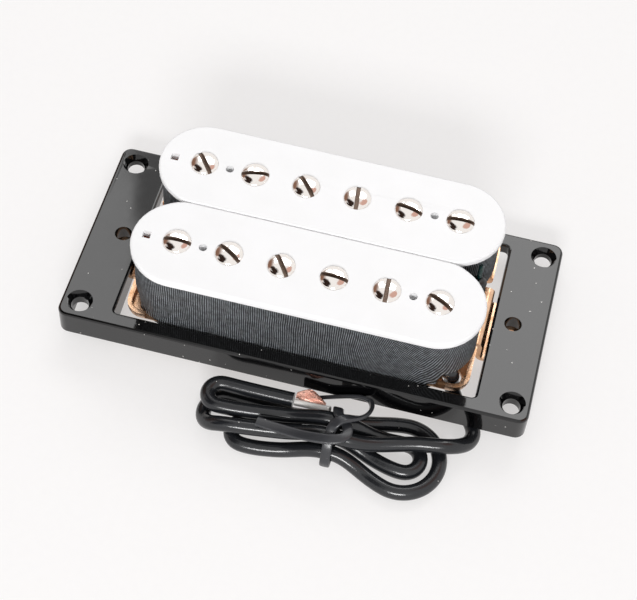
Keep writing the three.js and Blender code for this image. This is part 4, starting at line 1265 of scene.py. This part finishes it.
# %% Steel and magnet
# Cold-rolled steel: a grey, half-soft mirror with rolling lines 0.13 mm apart along the bars.
steel, tree, shader, place = start_material("steel_cold_rolled", "#8E9093", Metallic=1.0, Roughness=0.38)
lines = add(tree, "ShaderNodeMapping", {"Scale": (0.2, 8.0, 8.0)}, {"Vector": place})
rolled = add(tree, "ShaderNodeTexNoise", {"Scale": 1.0, "Detail": 3.0}, {"Vector": lines.outputs[0]})
span = {"To Min": 0.28, "To Max": 0.5}
add(tree, "ShaderNodeMapRange", span, {"Value": rolled.outputs[0]}, shader.inputs["Roughness"])
relief = {"Distance": 0.02 * MM, "Strength": 0.5}
add(tree, "ShaderNodeBump", relief, {"Height": rolled.outputs[0]}, shader.inputs["Normal"])

# Cast magnet alloy: dark grey and rough, with sandy spots of 0.3 mm from the mould.
magnet_grey, tree, shader, place = start_material("magnet_cast_alloy", "#4B4A4A", Metallic=0.8, Roughness=0.6)
sand = add(tree, "ShaderNodeTexNoise", {"Scale": 3.0, "Detail": 5.0}, {"Vector": place})
tones = {"A": linear("#383737"), "B": linear("#626060")}
add(tree, "ShaderNodeMix", tones, {"Factor": sand.outputs[0]}, shader.inputs["Base Color"], data_type="RGBA")
relief = {"Distance": 0.08 * MM, "Strength": 0.8}
add(tree, "ShaderNodeBump", relief, {"Height": sand.outputs[0]}, shader.inputs["Normal"])
print("materials", steel.name, "and", magnet_grey.name)

# %% Winding and solder
# Enamelled copper wire, wound: red-brown and softly shiny, with bands along the turns, paler on each turn and
# darker between them as painted shade. Real wire is 0.06 mm thick; the bands are drawn 0.3 mm apart, so that
# they show.
BAND_SPACING = 0.3
enamel = {"Metallic": 0.15, "Roughness": 0.4}
winding, tree, shader, place = start_material("enamelled_copper_winding", "#6B2A1E", **enamel)
parts = add(tree, "ShaderNodeSeparateXYZ", links={0: place})
band_turn = {1: 2 * math.pi / BAND_SPACING}
layers = add(tree, "ShaderNodeMath", band_turn, {0: parts.outputs[2]}, operation="MULTIPLY")
turns = add(tree, "ShaderNodeMath", links={0: layers.outputs[0]}, operation="SINE")
# painted shade: the dark tone lies between the turns, the pale one on them
tones = {"A": linear("#54200F"), "B": linear("#9A4B2C")}
add(tree, "ShaderNodeMix", tones, {"Factor": turns.outputs[0]}, shader.inputs["Base Color"], data_type="RGBA")
relief = {"Distance": 0.03 * MM, "Strength": 0.6}
add(tree, "ShaderNodeBump", relief, {"Height": turns.outputs[0]}, shader.inputs["Normal"])

# Solder that has flowed and set: a bright mirror with soft hollows of about 0.8 mm.
solder, tree, shader, place = start_material("solder_bright", "#B9BBBD", Metallic=1.0, Roughness=0.24)
flow = add(tree, "ShaderNodeTexNoise", {"Scale": 1.2, "Detail": 3.0}, {"Vector": place})
span = {"To Min": 0.14, "To Max": 0.38}
add(tree, "ShaderNodeMapRange", span, {"Value": flow.outputs[0]}, shader.inputs["Roughness"])
relief = {"Distance": 0.1 * MM, "Strength": 0.5}
add(tree, "ShaderNodeBump", relief, {"Height": flow.outputs[0]}, shader.inputs["Normal"])
print("materials", winding.name, "and", solder.name)

# %% Inner pieces
inner = {
    "keeper_bar_front": steel,
    "keeper_bar_rear": steel,
    "bar_magnet": magnet_grey,
    "coil_front": winding,
    "coil_rear": winding,
    "core_lead": insulation,
    "shield_solder": solder,
}
for row in ("front", "rear"):
    for end in ("left", "right"):
        inner["bobbin_screw_%s_%s" % (row, end)] = nickel
for node, material in inner.items():
    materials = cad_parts[node].data.materials
    materials.clear()
    materials.append(material)
print(len(inner), "inner pieces dressed")

# %% [markdown]
# ## Table, studio and light
#
# The object lies on a white table in a bright tent. A white ground could be had with more light,
# but that would bleach the object. Instead a share of plain white is mixed in for rays from the
# camera and from mirrors, and the rest of the table still takes the object's shadow. The share is
# 0.55 near the object and grows to 1 from 260 to 900 mm away, so that the far table and the white
# world meet without a line.

# %% Table
BACKDROP = linear("#FDFBFA")
TABLE_HALF = 3
WHITE_NEAR, WHITE_FAR = 0.55, 1.0
FADE_START, FADE_END = 260.0, 900.0
corners = [(-TABLE_HALF, -TABLE_HALF, 0), (TABLE_HALF, -TABLE_HALF, 0)]
corners += [(TABLE_HALF, TABLE_HALF, 0), (-TABLE_HALF, TABLE_HALF, 0)]
table_mesh = bpy.data.meshes.new("table")
table_mesh.from_pydata(corners, [], [(0, 1, 2, 3)])
table = bpy.data.objects.new("table", table_mesh)
bpy.context.scene.collection.objects.link(table)
# Coated paper: matt and white, with cloudy tones of about 2 mm that are hardly seen.
paper, tree, shader, place = start_material("white_table", "#F6F5F5", Roughness=0.6, IOR=1.4)
fibre = add(tree, "ShaderNodeTexNoise", {"Scale": 0.6, "Detail": 5.0}, {"Vector": place})
tones = {"A": linear("#F3F2F2"), "B": linear("#F9F8F8")}
add(tree, "ShaderNodeMix", tones, {"Factor": fibre.outputs[0]}, shader.inputs["Base Color"], data_type="RGBA")
backdrop = add(tree, "ShaderNodeEmission", {"Color": BACKDROP, "Strength": 1.0})
rays = add(tree, "ShaderNodeLightPath")
either = {0: rays.outputs["Is Camera Ray"], 1: rays.outputs["Is Glossy Ray"]}
looked_at = add(tree, "ShaderNodeMath", links=either, operation="MAXIMUM")
distance = add(tree, "ShaderNodeVectorMath", links={0: place}, operation="LENGTH")
fade = {"From Min": FADE_START, "From Max": FADE_END, "To Min": WHITE_NEAR, "To Max": WHITE_FAR}
far_share = add(tree, "ShaderNodeMapRange", fade, {"Value": distance.outputs["Value"]})
both = {0: looked_at.outputs[0], 1: far_share.outputs[0]}
share_white = add(tree, "ShaderNodeMath", links=both, operation="MULTIPLY")
output = [node for node in tree.nodes if node.type == "OUTPUT_MATERIAL"][0]
blend = {0: share_white.outputs[0], 1: shader.outputs[0], 2: backdrop.outputs[0]}
add(tree, "ShaderNodeMixShader", links=blend, into=output.inputs["Surface"])
table.data.materials.append(paper)
print("table", 2 * TABLE_HALF, "m square")

# %% [markdown]
# What polished nickel and black plastic show is the tent. It could be a picture of a studio or real
# walls round the object; here it is drawn by direction, which needs neither. It is white all round,
# with two dark patches high on the left for the unlit side of the room, two brown ones lower on
# that side and a faint pink one high on the right. The camera sees plain white instead, and matt
# surfaces get a weaker, even light.

# %% World
world = bpy.data.worlds.new("tent")
bpy.context.scene.world = world
world.use_nodes = True
tree = world.node_tree
tree.nodes.clear()
coords = add(tree, "ShaderNodeTexCoord")


def patch(direction, inner_cosine, outer_cosine):
    """1 where the direction looked in is near the given one, falling to 0: a smooth step of the dot
    product of both, which is the cosine of the angle between them."""
    unit = {1: (np.array(direction) / np.linalg.norm(direction)).tolist()}
    looked_in = {0: coords.outputs["Generated"]}
    dot = add(tree, "ShaderNodeVectorMath", unit, looked_in, operation="DOT_PRODUCT")
    return add(
        tree,
        "ShaderNodeMapRange",
        {"From Min": outer_cosine, "From Max": inner_cosine},
        {"Value": dot.outputs["Value"]},
        interpolation_type="SMOOTHSTEP",
    ).outputs[0]


dark = patch((-0.48, -0.04, 0.87), 0.96, 0.925)
camera_side = patch((-0.6, -0.36, 0.7), 0.95, 0.91)
pink = patch((0.41, 0.24, 0.87), 0.968, 0.95)
brown_left = patch((-0.8, 0.34, 0.42), 0.97, 0.8)
brown_low = patch((-0.72, -0.3, 0.62), 0.98, 0.88)
brown = add(tree, "ShaderNodeMath", links={0: brown_left, 1: brown_low}, operation="MAXIMUM")
darkest = add(tree, "ShaderNodeMath", links={0: dark, 1: camera_side}, operation="MAXIMUM")
print("five patches")

# %% Layers of the tent
shiny = add(tree, "ShaderNodeBackground", {"Strength": 1.0})
tones = {"A": (1.0, 0.99, 0.985, 1), "B": linear("#D9AFA2")}
layer = add(tree, "ShaderNodeMix", tones, {"Factor": pink}, data_type="RGBA")
for colour, factor in (("#8A6857", brown), ("#2E211B", darkest)):
    under = {"Factor": factor.outputs[0], "A": layer.outputs["Result"]}
    layer = add(tree, "ShaderNodeMix", {"B": linear(colour)}, under, data_type="RGBA")
tree.links.new(layer.outputs["Result"], shiny.inputs["Color"])
seen = add(tree, "ShaderNodeBackground", {"Color": BACKDROP, "Strength": 1.0})
soft = add(tree, "ShaderNodeBackground", {"Color": linear("#FFFDFD"), "Strength": 0.53})
rays = add(tree, "ShaderNodeLightPath")
world_out = add(tree, "ShaderNodeOutputWorld")
mirrors = {0: rays.outputs["Is Glossy Ray"], 1: soft.outputs[0], 2: shiny.outputs[0]}
lit = add(tree, "ShaderNodeMixShader", links=mirrors)
blend = {0: rays.outputs["Is Camera Ray"], 1: lit.outputs[0], 2: seen.outputs[0]}
add(tree, "ShaderNodeMixShader", links=blend, into=world_out.inputs["Surface"])
bpy.context.scene.view_settings.view_transform = "Standard"
print("world", world.name)

# %% [markdown]
# The light comes from four soft panels: a large one above and behind, which makes the shadow under
# the front of the ring, two weak ones behind and at the left, and a low bright strip in front, like
# a window, which puts the silvery lights on the cable and on the front of the ring.

# %% Lamps


def panel(name, place, size, power):
    """An area light whose own -Z looks from the place to the origin, and whose X is level."""
    data = bpy.data.lights.new(name, "AREA")
    data.shape = "RECTANGLE"
    data.size, data.size_y = size
    data.energy = power
    lamp = bpy.data.objects.new(name, data)
    bpy.context.scene.collection.objects.link(lamp)
    ahead = -np.array(place) / np.linalg.norm(place)
    right = np.cross(ahead, (0, 0, 1))
    right /= np.linalg.norm(right)
    up = np.cross(right, ahead)
    matrix = np.eye(4)
    matrix[:3, 0], matrix[:3, 1], matrix[:3, 2], matrix[:3, 3] = right, up, -ahead, place
    lamp.matrix_world = Matrix(matrix.tolist())


# place in metres, size in metres, power in watts
panel("tent_back", (0.08, 0.9, 1.0), (0.62, 0.5), 3.0)
panel("tent_back_left", (-0.45, 0.85, 0.9), (0.3, 0.5), 1.0)
panel("tent_left", (-0.95, -0.1, 0.7), (0.3, 0.6), 0.3)
panel("window_front", (0.12, -1.0, 0.66), (0.5, 0.22), 8.6)
print("four panels")
